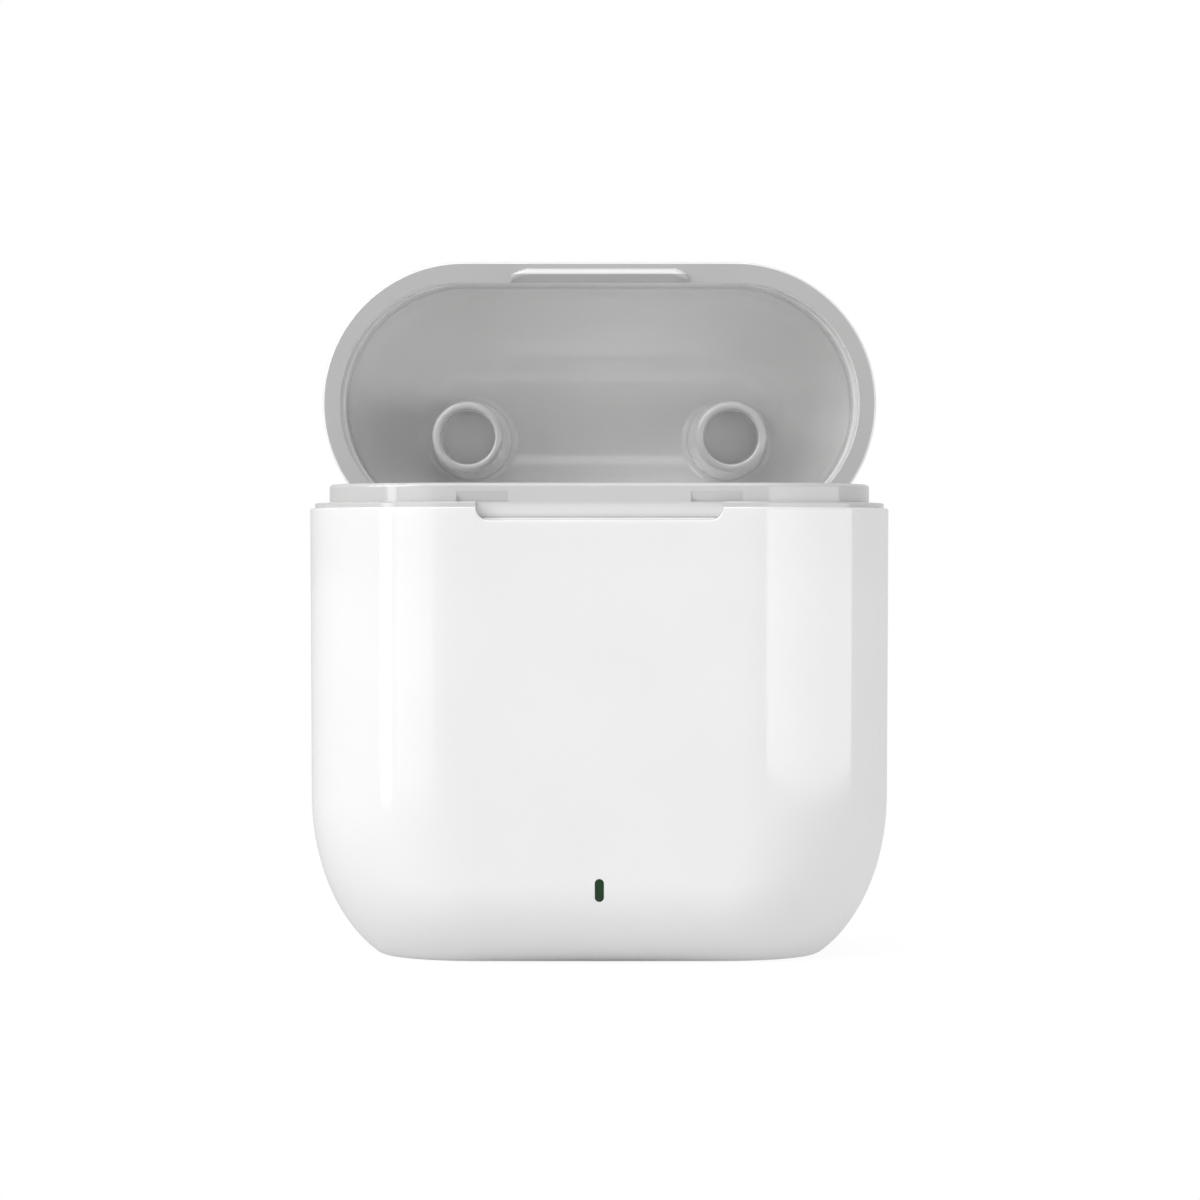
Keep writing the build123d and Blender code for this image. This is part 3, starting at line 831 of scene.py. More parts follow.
def rod(name: str, outline: np.ndarray, low: float, high: float, axes: str) -> bpy.types.Object:
    """A closed rod: an outline carried straight along an axis, capped with points at its middle.

    Args:
        name: The rod's name.
        outline: The outline's points, about the rod's middle.
        low: Where the rod starts.
        high: Where it ends.
        axes: The axes of the outline's two directions and of the rod, such as "xyz".

    Returns:
        The rod.
    """
    levels = np.array([low, low, high, high])[:, None] + 0 * outline[:, 0]
    middle = outline.mean(axis=0)
    spread = np.array([0, 1, 1, 0])[:, None]
    first = middle[0] + spread * (outline[:, 0] - middle[0])
    second = middle[1] + spread * (outline[:, 1] - middle[1])
    parts = {axes[0]: first, axes[1]: second, axes[2]: levels}
    piece = SurfaceSet().add(parts["x"], parts["y"], parts["z"]).build(name, [])
    close_up(piece.data, face_out=True)
    return piece


def stage_piece(piece: bpy.types.Object, body: Body, slot: Slot, *nodes: str) -> None:
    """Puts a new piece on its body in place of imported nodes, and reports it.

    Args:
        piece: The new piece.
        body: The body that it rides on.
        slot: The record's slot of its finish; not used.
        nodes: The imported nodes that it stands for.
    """
    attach(piece, body.value)
    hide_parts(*nodes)
    LOG.info("built %s with %d faces, for %s", piece.name, len(piece.data.polygons), ", ".join(nodes))


def box_mm(node: str) -> tuple[np.ndarray, np.ndarray]:
    """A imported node's lowest and highest corners, in millimetres."""
    low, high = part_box(node)
    return np.array(low) / MM, np.array(high) / MM


def hinge_line() -> Pair:
    """The hinge axis's y and z, in millimetres."""
    joint = next(j for j in frame["joints"] if j["name"] == "lid_hinge")
    return joint["pos_m"][1] / MM, joint["pos_m"][2] / MM


# ---- the lower shell -----------------------------------------------------------------------
@dataclass
class LowerShell:
    """The oval lower shell: rounded corners, thumb notch, hinge slot and its three holes."""

    draft: float = 0.16
    wall: float = 1.3
    floor: float = 1.5
    end_corner: tuple[float, float, float] = (12.2, 9.2, 13.5)
    face_corner: tuple[float, float, float] = (6.0, 5.0, 6.2)
    edge_round: float = 0.17
    base_crease: float = 0.3
    notch_half: float = 9.3
    notch_depth: float = 1.0
    notch_corner: float = 1.0
    notch_section: tuple[Pair, ...] = ((2.05, 0.4), (1.5, -0.62), (-0.3, -1.05))
    base_bead: Pair = (0.105, 0.008)
    wall_levels: tuple[float, ...] = (16.0, 20.0, 24.0, 28.0, 31.2)
    lip_insets: tuple[float, ...] = (0.37, 0.7, 1.0)
    lip_fall: float = 0.05
    slot_half: float = 10.0
    slot_floor: float = 31.5
    slit: float = 0.002
    corner_steps: int = 44
    light_level: float = 5.7
    light_size: Pair = (0.69, 1.74)
    button_radius: float = 3.58
    port_size: Pair = (9.24, 3.56)
    cut_past: float = 1.0
    size: np.ndarray = field(init=False)

    def __post_init__(self) -> None:
        """Reads the shell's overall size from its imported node."""
        low, high = box_mm("outer_shell")
        self.size = high - low

    def half(self, axis: int, z: Number) -> np.ndarray:
        """Half the outside width, or depth, at a height: the overall half less the draft and the inset."""
        start, reach, drop = (self.end_corner, self.face_corner)[axis]
        drawn_in = self.draft * (1 - z / self.size[2])
        return self.size[axis] / 2 - drawn_in - quarter_inset(start - z, reach, drop)

    def ramp_height(self, y: np.ndarray) -> np.ndarray:
        """The thumb notch's dished ramp: the lower half of the circle through its section's points.

        The section's points are given inwards from the front face and upwards from the rim.

        Args:
            y: Places across the wall.

        Returns:
            The ramp's height there.
        """
        inward, upward = np.array(self.notch_section).T
        places, heights = inward - self.size[1] / 2, upward + self.size[2]
        lines = 2 * np.stack([places[1:] - places[0], heights[1:] - heights[0]], axis=-1)
        squares = places**2 + heights**2
        centre = np.linalg.solve(lines, squares[1:] - squares[0])
        radius = math.hypot(places[0] - centre[0], heights[0] - centre[1])
        return centre[1] - np.sqrt(np.maximum(radius**2 - (y - centre[0]) ** 2, 0))

    def rim_height(self, x: np.ndarray, y: np.ndarray) -> np.ndarray:
        """The shell's top edge: level, but dished in the thumb notch and low in the hinge slot.

        Args:
            x: Places along the shell.
            y: Places across it.

        Returns:
            The top's height at each place.
        """
        top = self.size[2]
        reach = np.abs(x)
        past = np.clip((reach - self.notch_half + self.notch_corner) / self.notch_corner, 0, 1)
        outline = top - self.notch_depth + self.notch_corner * (1 - np.sqrt(1 - past**2))
        notch = np.minimum(top, np.maximum(outline, self.ramp_height(y)))
        in_notch = (reach < self.notch_half + self.slit / 2) & (y < 0)
        in_slot = (reach < self.slot_half) & (y > 0)
        return np.where(in_slot, self.slot_floor, np.where(in_notch, notch, top))

    def track(self) -> OvalTrack:
        """The shell's columns: even along the faces, close at the notch's corners and the slot's ends.

        Returns:
            The track.
        """
        turn = quarter_turn(11)
        bends = self.notch_half - self.notch_corner * (1 - np.sin(turn))
        steps = np.arange(-7.5, 7.6, 0.5)
        close = [10.6, self.slot_half - self.slit, self.slot_half + self.slit, 9.65]
        both = [side * place for side in (-1, 1) for place in [*bends, *close, 7.9]]
        return OvalTrack(tuple([*steps, *both]), (self.size[0] - self.size[1]) / 2, end_steps=56)

    def surface(self) -> SurfaceSet:
        """The shell's whole skin: base, corner, wall, rounded rim, inner wall and inner floor in one grid.

        Returns:
            The grid.
        """
        track = self.track()
        start, _, drop = self.end_corner
        turns = np.linspace(math.asin(start / drop), 0, self.corner_steps + 1)[1:]
        corner = start - drop * np.sin(turns)
        walls = np.array(self.wall_levels)
        base_half = float(self.half(1, 0))
        rows: list[Row] = []

        def ring(height: float, inset: float, z: float = 0.0, below_rim: Optional[float] = None) -> None:
            """Adds one row.

            Args:
                height: The height whose outline the row follows.
                inset: How far inside that outline it runs.
                z: Its level.
                below_rim: Its distance under the rim, in place of a level.
            """
            x, y = track.ring(self.half(0, height) - inset, self.half(1, height) - inset)
            level = np.full(x.shape, z) if below_rim is None else self.rim_height(x, y) - below_rim
            rows.append((x, y, level))

        for inset in np.linspace(base_half, self.base_crease, 6):
            ring(0.0, inset)
        ring(0.0, *self.base_bead)
        for z in [*corner, *walls]:
            ring(z, 0.0, z)
        for turn in quarter_turn(EDGE_STEPS):
            in_and_down = self.edge_round * (1 - np.array([math.cos(turn), math.sin(turn)]))
            ring(self.size[2], in_and_down[0], below_rim=in_and_down[1])
        for inset in (*self.lip_insets, self.wall - self.lip_fall):
            ring(self.size[2], inset, below_rim=0.0)
        ring(self.size[2] - self.floor, self.wall, below_rim=self.lip_fall)
        for z in [*walls[::-1], *(corner[::-1] + self.floor)]:
            ring(z - self.floor, self.wall, z)
        for inset in np.linspace(self.wall, base_half, 6):
            ring(0.0, inset, self.floor)
        return SurfaceSet().add(*stacked(rows))

    def build(self, shelf: FinishShelf) -> None:
        """Builds the shell, cuts its holes and puts it in place.

        Args:
            shelf: The finishes.
        """
        piece = self.surface().build("lower_shell_moulding", [shelf.take(SHELL_GLOSS)])
        button_low, button_high = box_mm("setup_button")
        button_level = (button_low[2] + button_high[2]) / 2
        front, past = -self.size[1] / 2, self.cut_past
        bar = stadium(self.light_size[1], self.light_size[0])[:, ::-1] + np.array([0, self.light_level])
        disc = stadium(2 * self.button_radius, 2 * self.button_radius, 48) + np.array([0, button_level])
        cut(
            piece,
            [
                rod("light_hole", bar, front - past, front + self.wall + past, "xzy"),
                rod("button_hole", disc, -front - self.wall - past, -front + past, "xzy"),
                rod("port_hole", stadium(*self.port_size), -past, self.floor + past, "xyz"),
            ],
        )
        stage_piece(piece, Body.BASE, Slot.SHELL, "outer_shell")


# ---- the lid -------------------------------------------------------------------------------
@dataclass(frozen=True)
class Dome:
    """A straight-sided oval with a domed top, worked out as the shut lid stands."""

    half_width: float
    half_depth: float
    height: float
    end_corner: Pair
    face_corner: Pair

    def width_at(self, h: Number) -> np.ndarray:
        """Half the width at a height: the overall half less the end corner's inset."""
        reach, drop = self.end_corner
        return self.half_width - quarter_inset(h - self.height + drop, reach, drop)

    def depth_at(self, h: Number) -> np.ndarray:
        """Half the depth at a height: the overall half less the face corner's inset."""
        reach, drop = self.face_corner
        return self.half_depth - quarter_inset(h - self.height + drop, reach, drop)

    def halves(self, h: float) -> Pair:
        """Half the width and half the depth at one height."""
        return float(self.width_at(h)), float(self.depth_at(h))

    def levels(self, low: float, steps: int) -> np.ndarray:
        """Heights from low up to the crown: even steps, then even angles round the taller corner.

        Args:
            low: The lowest height.
            steps: Steps round the corner.

        Returns:
            The heights, lowest first.
        """
        drop = max(self.end_corner[1], self.face_corner[1])
        bend = self.height - drop * (1 - np.sin(quarter_turn(steps + 1)))
        return np.concatenate([np.linspace(low, bend[0], 4)[:-1], bend])

    def ceiling(self, x: np.ndarray, y: np.ndarray) -> np.ndarray:
        """The dome's height over points: halving steps find the highest oval that still holds each point.

        Args:
            x: The points' x.
            y: The points' y.

        Returns:
            The heights.
        """
        low = np.zeros(np.broadcast(x, y).shape)
        high = np.full(low.shape, self.height)
        for _ in range(30):
            middle = (low + high) / 2
            half_depth = self.depth_at(middle)
            beyond = np.maximum(np.abs(x) - (self.width_at(middle) - half_depth), 0)
            inside = np.hypot(beyond, y) < half_depth
            low = np.where(inside, middle, low)
            high = np.where(inside, high, middle)
        return low


@dataclass
class Lid:
    """The open lid: its domed shell with the rim and its tongue, and the liner with its two posts."""

    shell: Dome = Dome(22.5, 11.5, 17.8, (8.5, 10.0), (8.2, 11.0))
    hollow: Dome = Dome(21.5, 10.5, 16.7, (8.5, 10.0), (8.2, 11.0))
    liner_out: Dome = Dome(21.45, 10.45, 15.65, (7.0, 9.0), (7.5, 9.5))
    liner_in: Dome = Dome(20.8, 9.8, 15.0, (7.0, 9.0), (7.5, 9.5))
    mouth_half: Pair = (21.12, 9.78)
    rim_depth: float = 2.0
    edge_round: float = 0.18
    mouth_round: float = 0.09
    liner_low: float = 2.05
    leaf_half: float = 7.0
    leaf_wall: float = 10.48
    leaf_top: float = 6.18
    leaf_steps: Pair = (0.003, 0.01)
    leaf_slope: float = 0.12
    lip_round: float = 0.06
    slit: float = 0.002
    tongue_half: float = 7.2
    tongue_height: float = 0.5
    tongue_shows: float = 0.02
    tongue_end: float = 0.14
    tongue_foot: float = 0.54
    tongue_rise: float = 0.3
    tongue_crest: float = 0.16
    tongue_inner: float = 1.66
    tongue_bend: Pair = (1.5, 0.55)
    tongue_thins: float = 0.3
    tongue_least_fall: float = 0.08
    tongue_fullness: float = 1.05
    post_place: Pair = (10.8, 2.6)
    post_tip: float = 2.5
    post_tip_radius: float = 2.9
    post_base_radius: float = 3.4
    post_bore: Pair = (2.24, 4.5)
    post_flare: float = 0.6
    post_tip_round: float = 0.34
    post_bore_round: float = 0.26
    post_floor_round: float = 0.15
    post_flank: Pair = (1.5, 3.0)
    post_root: tuple[float, float, float] = (0.006, 0.12, 0.15)
    first_level: float = 1.0
    corner_steps: int = 36
    rim_steps: int = 30

    def opened(self, x: np.ndarray, y: np.ndarray, h: np.ndarray) -> Row:
        """Turns points of the shut lid back by a quarter turn about the hinge.

        Args:
            x: The points' x.
            y: Their y with the lid shut.
            h: Their height above the mouth with the lid shut.

        Returns:
            Their x, y and z with the lid open: y from the height, and z from the shut y, turned over.
        """
        hinge_y, hinge_z = hinge_line()
        mouth = box_mm("lid_shell")[0][1] + self.tongue_height
        return x, mouth + h, hinge_z + hinge_y - y

    def track(self) -> OvalTrack:
        """The lid's columns: even along the faces, close at the leaf's slot and the tongue's ends.

        Returns:
            The track.
        """
        steps = np.arange(-6.6, 6.7, 0.3)
        close = [6.8, 6.93, self.leaf_half - self.slit, self.leaf_half + self.slit, 7.1, 7.16, 7.22, 7.3]
        both = [side * place for side in (-1, 1) for place in [*close, 7.5, 8.2, 9.0, 9.8, 10.5]]
        straight = self.shell.half_width - self.shell.half_depth
        return OvalTrack(tuple([*steps, *both]), straight, fixed_half=7.5, end_steps=56)

    def tongue(self, x: np.ndarray, inset: np.ndarray) -> np.ndarray:
        """The tongue's height over the rim: a rounded rise, a flat crest and a slope to the mouth's edge.

        The rise starts further in towards the ends, by the square of the way along the bend, and the
        height falls off within a short step at each end.

        Args:
            x: Places along the rim.
            inset: How far in from the lid's outer face.

        Returns:
            The height at each place.
        """
        bend, drop = self.tongue_bend
        along = np.clip((np.abs(x) - self.tongue_half + bend) / bend, 0, 1)
        foot = self.tongue_foot + drop * along**2
        rise = np.clip((inset - foot) / (self.tongue_rise * (1 - self.tongue_thins * along)), 0, 1)
        fall_start = foot + self.tongue_rise + self.tongue_crest
        fall_width = np.maximum(self.tongue_inner - fall_start, self.tongue_least_fall)
        fall = np.clip((self.tongue_inner - inset) / fall_width, 0, 1)
        end = np.clip((self.tongue_half - np.abs(x)) / self.tongue_end, 0, 1)
        rounded = np.sin(rise * np.pi / 2)
        full = np.minimum(fall * self.tongue_fullness, 1)
        return self.tongue_height * rounded * full * np.sqrt(1 - (1 - end) ** 2)

    def shell_surface(self) -> SurfaceSet:
        """The lid shell's whole skin, from the hollow's crown down, over the rim and up to the outer crown.

        Returns:
            The grid, with the rim's flat and the tongue's underside in the second material, a darker copy of
            the shell plastic painted as shade; the tongue's rise and crest keep the first.
        """
        track = self.track()
        station, _, outward_y = track.columns()
        at_leaf = (np.abs(station) < self.leaf_half) & (outward_y > 0.5)
        at_front = outward_y < -0.5
        rows: list[Row] = []
        bands: list[np.ndarray] = []
        crest_end = self.tongue_foot + self.tongue_rise + self.tongue_crest

        def ring(half_width: float, half_depth: float, h: float, leaf_depth: Optional[float] = None) -> None:
            """Adds one row of the skin.

            Args:
                half_width: Half the row's width.
                half_depth: Half its depth.
                h: Its height above the mouth.
                leaf_depth: How far back it runs at the leaf's slot, if that is further out.
            """
            x, y = track.ring(half_width, half_depth)
            if leaf_depth is not None:
                y = np.where(at_leaf, leaf_depth, y)
            inset = self.shell.half_depth + y
            lift = np.where(at_front & (h < self.mouth_round * 2), self.tongue(x, inset), 0)
            rows.append((x, y, h - lift))
            # The rim's flat face and the tongue's underside take the darker copy, painted shade; the
            # tongue's rise and crest keep the shell plastic.
            flat = h < 0.5 * self.mouth_round and half_width < self.shell.half_width - 0.9 * self.edge_round
            bands.append(np.where((lift > self.tongue_shows) & (inset < crest_end), 0, int(flat)))

        def cap(dome: Dome, shares: Sequence[float]) -> None:
            """Adds the flat crown's rows.

            Args:
                dome: The dome.
                shares: Each row's way out from the line at the crown's middle, 0 to 1.
            """
            width, depth = dome.halves(dome.height)
            for share in shares:
                ring(width - depth + share * depth, share * depth, dome.height)

        cap(self.hollow, (0.0, 0.5))
        for h in self.hollow.levels(self.rim_depth, self.corner_steps)[::-1]:
            ring(*self.hollow.halves(h), h)
        mouth_width, mouth_depth = self.mouth_half
        for h in (self.rim_depth, self.first_level, self.mouth_round):
            ring(mouth_width, mouth_depth, h, self.leaf_wall)
        out_width = self.shell.half_width - self.edge_round
        out_depth = self.shell.half_depth - self.edge_round
        in_width, in_depth = mouth_width + self.mouth_round, mouth_depth + self.mouth_round
        bead = 0.3 * self.mouth_round
        leaf_bead, leaf_edge = (self.leaf_wall + step for step in self.leaf_steps)
        ring(mouth_width + bead, mouth_depth + bead, bead, leaf_bead)
        for share in np.linspace(0, 1, self.rim_steps):
            ring(
                in_width + share * (out_width - in_width),
                in_depth + share * (out_depth - in_depth),
                0.0,
                leaf_edge + share * (out_depth - leaf_edge),
            )
        for turn in quarter_turn(EDGE_STEPS)[1:]:
            inset, rise = self.edge_round * (1 - math.sin(turn)), self.edge_round * (1 - math.cos(turn))
            ring(self.shell.half_width - inset, self.shell.half_depth - inset, rise)
        for h in self.shell.levels(self.first_level, self.corner_steps):
            ring(*self.shell.halves(h), h)
        cap(self.shell, (0.5, 0.0))
        return SurfaceSet().add(*self.opened(*stacked(rows)), finish=np.stack(bands[:-1]))

    def liner_surface(self) -> SurfaceSet:
        """The liner's skin, from the inner crown down to its edge and up to the outer crown, and its posts.

        Returns:
            The grids, with the posts' tip rings in the second material, the darker copy of the plastic
            painted as shade.
        """
        track = self.track()
        station, _, outward_y = track.columns()
        at_leaf = (np.abs(station) < self.leaf_half) & (outward_y > 0.5)
        rows: list[Row] = []

        def ring(dome: Dome, h: float, share: float = 1.0, inset: float = 0.0) -> None:
            """Adds one row, raised to the leaf slot's top where it would hang below.

            Args:
                dome: The dome.
                h: The row's height.
                share: Its size as a share of the dome's.
                inset: How far inside the dome it runs.
            """
            full_width, full_depth = dome.halves(h)
            depth = share * (full_depth - inset)
            x, y = track.ring(full_width - full_depth + depth, depth)
            low = self.leaf_top + (h - self.liner_low) * self.leaf_slope
            rows.append((x, y, np.where(at_leaf & (h < low), low, h)))

        for share in (0.0, 0.5):
            ring(self.liner_in, self.liner_in.height, share)
        for h in self.liner_in.levels(self.liner_low + self.lip_round, self.corner_steps)[::-1]:
            ring(self.liner_in, h)
        ring(self.liner_in, self.liner_low, inset=-self.lip_round)
        ring(self.liner_out, self.liner_low, inset=self.lip_round)
        for h in self.liner_out.levels(self.liner_low + self.lip_round, self.corner_steps):
            ring(self.liner_out, h)
        for share in (0.5, 0.0):
            ring(self.liner_out, self.liner_out.height, share)
        surfaces = SurfaceSet().add(*self.opened(*stacked(rows)))
        for side in (-1, 1):
            x, y, h = self.post(side)
            # The tip rings take the darker copy of the plastic: painted shade.
            low = h.max(axis=1, keepdims=True) < self.post_tip + self.post_tip_round + 0.01
            surfaces.add(*self.opened(x, y, h), finish=(low[1:] & low[:-1]) * np.ones(h.shape[1], int))
        return surfaces

    def post(self, side: int) -> Row:
        """One post: a profile turned about its axis, whose last rows follow the liner's ceiling in a flare.

        Args:
            side: -1 for the left post and 1 for the right one.

        Returns:
            The points' x, y and height with the lid shut.
        """
        turn = whole_turn()
        bore_radius, bore_depth = self.post_bore
        tip, soft, brim = self.post_tip, self.post_tip_round, self.post_bore_round
        bend, corner = quarter_turn(6), self.post_floor_round
        radius = [0.0, bore_radius * 0.6, bore_radius - corner, bore_radius, bore_radius, bore_radius]
        height = [bore_depth, bore_depth, bore_depth, bore_depth - corner, bore_depth / 2, brim]
        radius += list(bore_radius + brim * (1 - np.cos(bend[1:])))
        height += list(brim * (1 - np.sin(bend[1:])))
        radius += list(self.post_tip_radius - soft * (1 - np.sin(bend)))
        height += list(soft * (1 - np.cos(bend)))
        taper = (self.post_base_radius - self.post_tip_radius) / (self.liner_out.height - tip)
        ring_x = side * self.post_place[0]
        radius += [self.post_tip_radius + taper * rise for rise in self.post_flank]
        height += self.post_flank
        flat_radius = np.array(radius)[:, None] + 0 * turn
        flat_height = np.array(height)[:, None] + tip + 0 * turn

        def over(reach: np.ndarray) -> np.ndarray:
            """The ceiling's height at a distance from the post's axis, all the way round."""
            x, y = ring_x + reach * np.cos(turn), self.post_place[1] + reach * np.sin(turn)
            return self.liner_in.ceiling(x, y)

        wall_radius = self.post_tip_radius + taper * (over(np.full(turn.shape, self.post_base_radius)) - tip)
        flare = quarter_turn(12)[:, None]
        reach = wall_radius + self.post_flare * (1 - np.cos(flare))
        off_ceiling, root_out, root_up = self.post_root
        rise = over(reach) - self.post_flare * (1 - np.sin(flare)) + off_ceiling
        end_reach = reach[-1:] + root_out
        all_radius = np.concatenate([flat_radius, reach, end_reach])
        all_height = np.concatenate([flat_height, rise, over(end_reach) + root_up])
        x = ring_x + all_radius * np.cos(turn)
        y = self.post_place[1] + all_radius * np.sin(turn)
        return x, y, all_height

    def build(self, shelf: FinishShelf) -> None:
        """Builds the lid's shell and liner and puts them in place.

        Args:
            shelf: The finishes.
        """
        # The rim material is the darker copy of the shell plastic, painted shade on the rim face, the
        # tongue's underside and the posts' tip rings.
        shell, rim, liner = (shelf.take(gloss) for gloss in (SHELL_GLOSS, RIM_PAINTED_SHADE, LINER_GLOSS))
        outer = self.shell_surface().build("lid_shell_moulding", [shell, rim])
        stage_piece(outer, Body.LID, Slot.SHELL, "lid_shell")
        inner = self.liner_surface().build("lid_liner_moulding", [liner, rim])
        stage_piece(inner, Body.LID, Slot.LINER, "lid_liner")


# ---- the setup button ------------------------------------------------------------------------
@dataclass
class SetupButton:
    """The round button in the back face: a softly edged, slightly dished cap over a collar and stem."""

    cap_radius: float = 3.5
    edge_round: float = 0.16
    dish: float = 0.05
    collar_radius: float = 4.1
    collar_thickness: float = 0.5
    stem_radius: float = 0.9
    stem_length: float = 1.2
    draft_slope: float = 0.16 / 34.5

    def surface(self) -> SurfaceSet:
        """The button's profile turned about its axis, leaning with the shell's draft.

        Returns:
            The grid.
        """
        low, high = box_mm("setup_button")
        middle = (low[2] + high[2]) / 2
        face = high[1] - self.cap_radius * self.draft_slope
        collar_front = low[1] + self.stem_length
        collar_back = collar_front + self.collar_thickness
        turn, bend = whole_turn(), quarter_turn(6)
        inner = np.linspace(0, self.cap_radius - self.edge_round, 9)
        profile = [(r, face - self.dish * (1 - (r / inner[-1]) ** 2)) for r in inner]
        off_side, off_face = (self.edge_round * (1 - part(bend[1:])) for part in (np.sin, np.cos))
        profile += zip(self.cap_radius - off_side, face - off_face)
        profile += [(self.cap_radius, collar_back), (self.collar_radius, collar_back)]
        profile += [(self.collar_radius, collar_front), (self.stem_radius, collar_front)]
        profile += [(self.stem_radius, low[1]), (0.0, low[1])]
        radius, along = (np.array(part)[:, None] for part in zip(*profile))
        x = radius * np.cos(turn)
        z = middle + radius * np.sin(turn)
        lean = np.where(along > collar_back, (z - middle) * self.draft_slope, 0)
        return SurfaceSet().add(x, along + lean + 0 * turn, z)

    def build(self, shelf: FinishShelf) -> None:
        """Builds the button and puts it in place.

        Args:
            shelf: The finishes.
        """
        piece = self.surface().build("setup_button_cap", [shelf.take(SHELL_GLOSS)])
        stage_piece(piece, Body.BUTTON, Slot.SHELL, "setup_button")


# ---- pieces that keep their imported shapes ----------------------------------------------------
@dataclass
class DressedGroup:
    """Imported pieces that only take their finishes."""

    title: str
    finishes: tuple[tuple[Finish, tuple[str, ...]], ...]

    def build(self, shelf: FinishShelf) -> None:
        """Dresses the group's pieces.

        Args:
            shelf: The finishes.
        """
        for finish, nodes in self.finishes:
            shelf.dress(finish, *nodes)
        LOG.info("%s done", self.title)


PIN_NAMES = tuple(f"contact_pin_{side}_{place}" for side in ("left", "right") for place in ("front", "rear"))
PACKED_GROUPS = (
    DressedGroup(
        "inner frame and wells",
        ((FRAME_GLOSS, ("inner_frame",)), (WELL_GLOSS, ("earbud_well_left", "earbud_well_right"))),
    ),
    DressedGroup(
        "hinge",
        (
            (HINGE_STEEL, ("hinge_bracket", "hinge_pin", "lid_hinge_leaf")),
            (SCREW_STEEL, ("hinge_bracket_screws", "lid_leaf_screws")),
        ),
    ),
    DressedGroup(
        "battery and boards",
        (
            (BATTERY_WRAP, ("battery_cell",)),
            (TAPE_FOAM, ("battery_tape",)),
            (BOARD_GREEN, ("main_board", "port_board", "led_board")),
            (CHIP_BLACK, ("board_chips", "hall_sensor", "tact_switch")),
            (FLEX_AMBER, ("flex_ribbon",)),
            (PLUNGER_DARK, ("switch_plunger",)),
            (MAGNET_NICKEL, ("case_magnets", "lid_magnets")),
        ),
    ),
    DressedGroup(
        "charging port",
        (
            (PORT_STEEL, ("charging_socket",)),
            (CHIP_BLACK, ("socket_tongue",)),
            (CONTACT_GOLD, ("socket_contacts",)),
        ),
    ),
    DressedGroup(
        "charge light",
        ((LIGHT_GREEN, ("led_light_pipe",)), (LED_BODY, ("led_chip",))),
    ),
    DressedGroup(
        "earbud contacts",
        (
            (CARRIER_BLACK, ("contact_carrier_left", "contact_carrier_right")),
            (CONTACT_GOLD, ("contact_barrels", *PIN_NAMES)),
        ),
    ),
)


# ---- the studio ------------------------------------------------------------------------------
@dataclass(frozen=True)
class StudioPaper(Finish):
    """White paper: a shaded sheet near the case, which fades to plain white further out."""

    name: str = "studio_paper"
    white: Colour = (0.7, 0.7, 0.7)
    bounce: float = 0.7
    glow: float = 1.45
    glow_share: float = 0.5
    fade_end: float = 0.03

    def material(self) -> bpy.types.Material:
        """Builds the paper; what it throws back on the case is dimmer than what shows.

        Returns:
            The material.
        """
        bench = Bench.for_material(self.name)
        where = bench.place()
        x, y = bench.axis("X", where), bench.axis("Y", where)
        share = bench.band(bench.maths("SQRT", x * x + y * y), 0.0, self.fade_end)
        seen = bench.out("ShaderNodeLightPath", "Is Camera Ray")
        rough = 0.85 + bench.noise(0.8, 2.0, where) * 0.1
        shine = {"Roughness": rough, "Specular_IOR_Level": 0.1}
        sheet = bench.out("ShaderNodeBsdfPrincipled", Base_Color=self.white, **shine)
        lit = bench.mix_shaders(seen * self.glow_share, sheet, bench.plain_light(self.glow))
        far = bench.mix_shaders(seen, bench.plain_light(self.bounce), bench.plain_light(1.0))
        bench.node("ShaderNodeOutputMaterial", Surface=bench.mix_shaders(share, lit, far))
        return bench.owner


@dataclass(frozen=True)
class Softbox:
    """One rectangular lamp that faces the case, with its place in degrees and metres."""

    name: str
    azimuth: float
    level: float
    distance: float
    width: float
    height: float
    radiance: float
    tilt: float = 0.0

    def hang(self) -> None:
        """Hangs the lamp at its azimuth, distance and level, turned towards the case's upright axis."""
        turn = math.radians(self.azimuth)
        light = bpy.data.lights.new(self.name, "AREA")
        light.shape = "RECTANGLE"
        light.size = self.width
        light.size_y = self.height
        light.energy = self.radiance * math.pi * self.width * self.height
        holder = add_object(self.name, light)
        holder.location = (math.sin(turn) * self.distance, -math.cos(turn) * self.distance, self.level)
        holder.rotation_euler = (math.pi / 2 - math.radians(self.tilt), 0, turn)
        holder.visible_camera = False


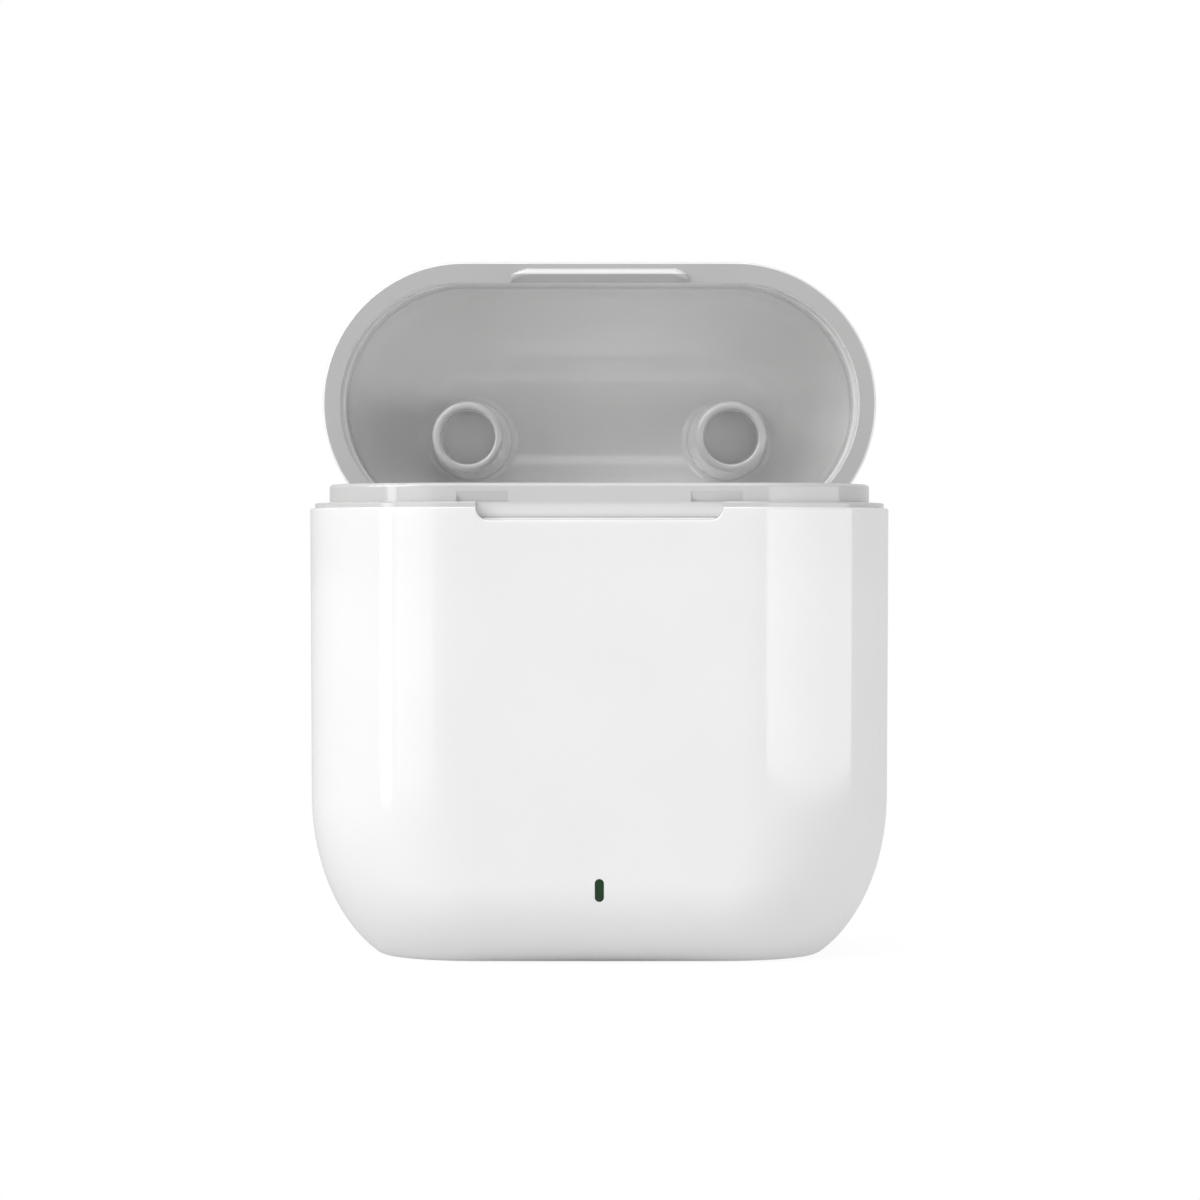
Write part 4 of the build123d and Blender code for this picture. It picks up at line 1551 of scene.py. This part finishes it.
@dataclass
class Studio:
    """A pale floor, a soft white surround, softboxes and the camera."""

    eye: tuple[float, float, float] = (0.00005, -0.3, 0.0305)
    pitch: float = math.radians(0.595)
    lens: float = 115.5
    sensor: float = 36.0
    surround: float = 0.19
    surround_up: float = 0.12
    surround_right: float = 0.1
    surround_back: float = 0.5
    floor_half: float = 3.0
    nearest: float = 0.01
    lamps: tuple[Softbox, ...] = (
        Softbox("left_softbox", -34.0, 0.035, 0.2, 0.1, 0.07, 0.8),
        Softbox("left_strip", -56.0, 0.035, 0.2, 0.03, 0.07, 3.2),
        Softbox("right_softbox", 56.0, 0.01, 0.2, 0.29, 0.12, 1.75),
        Softbox("key_softbox", -62.0, 0.36, 0.49, 0.45, 0.45, 3.7, tilt=34.0),
        Softbox("top_softbox", -15.0, 0.5, 0.3, 0.5, 0.5, 1.3, tilt=57.0),
    )

    def build_floor(self, shelf: FinishShelf) -> None:
        """Lays the floor.

        Args:
            shelf: The finishes.
        """
        signs = ((-1, -1), (1, -1), (1, 1), (-1, 1))
        corners = [(x * self.floor_half, y * self.floor_half, 0) for x, y in signs]
        mesh = bpy.data.meshes.new("studio_floor")
        mesh.from_pydata(corners, [], [(0, 1, 2, 3)])
        mesh.materials.append(shelf.take(StudioPaper()))
        add_object("studio_floor", mesh)

    def build_world(self) -> None:
        """Lights the surround softly, more from above, the right and behind; plain white to the camera."""
        world = bpy.data.worlds.new("studio_surround")
        bench = Bench(world)
        towards = bench.out("ShaderNodeTexCoord", "Generated")
        behind = bench.maths("MAXIMUM", bench.axis("Y", towards), 0.0)
        strength = self.surround + bench.axis("Z", towards) * self.surround_up
        strength = strength + bench.axis("X", towards) * self.surround_right + behind * self.surround_back
        lights = (strength, 1.0)
        soft, plain = (bench.out("ShaderNodeBackground", Color=WHITE, Strength=glow) for glow in lights)
        seen = bench.out("ShaderNodeLightPath", "Is Camera Ray")
        bench.node("ShaderNodeOutputWorld", Surface=bench.mix_shaders(seen, soft, plain))
        bpy.context.scene.world = world

    def build_camera(self) -> None:
        """Sets the camera in front of the case, level with its middle."""
        camera = bpy.data.cameras.new("front_camera")
        camera.lens = self.lens
        camera.sensor_width = self.sensor
        camera.clip_start = self.nearest
        holder = add_object("front_camera", camera)
        holder.location = self.eye
        holder.rotation_euler = (math.pi / 2 - self.pitch, 0, 0)
        bpy.context.scene.camera = holder

    def build(self, shelf: FinishShelf) -> None:
        """Sets up the whole studio.

        Args:
            shelf: The finishes.
        """
        self.build_floor(shelf)
        self.build_world()
        for lamp in self.lamps:
            lamp.hang()
        self.build_camera()
        bpy.context.scene.view_settings.view_transform = "Standard"
        LOG.info("studio set up with %d lamps", len(self.lamps))


def main() -> None:
    """Builds and dresses the case piece by piece, then sets up the studio round it."""
    logging.basicConfig(level=logging.INFO, format="%(name)s: %(message)s")
    shelf = FinishShelf()
    for group in (LowerShell(), Lid(), SetupButton(), *PACKED_GROUPS, Studio()):
        group.build(shelf)


if __name__ == "__main__":
    main()
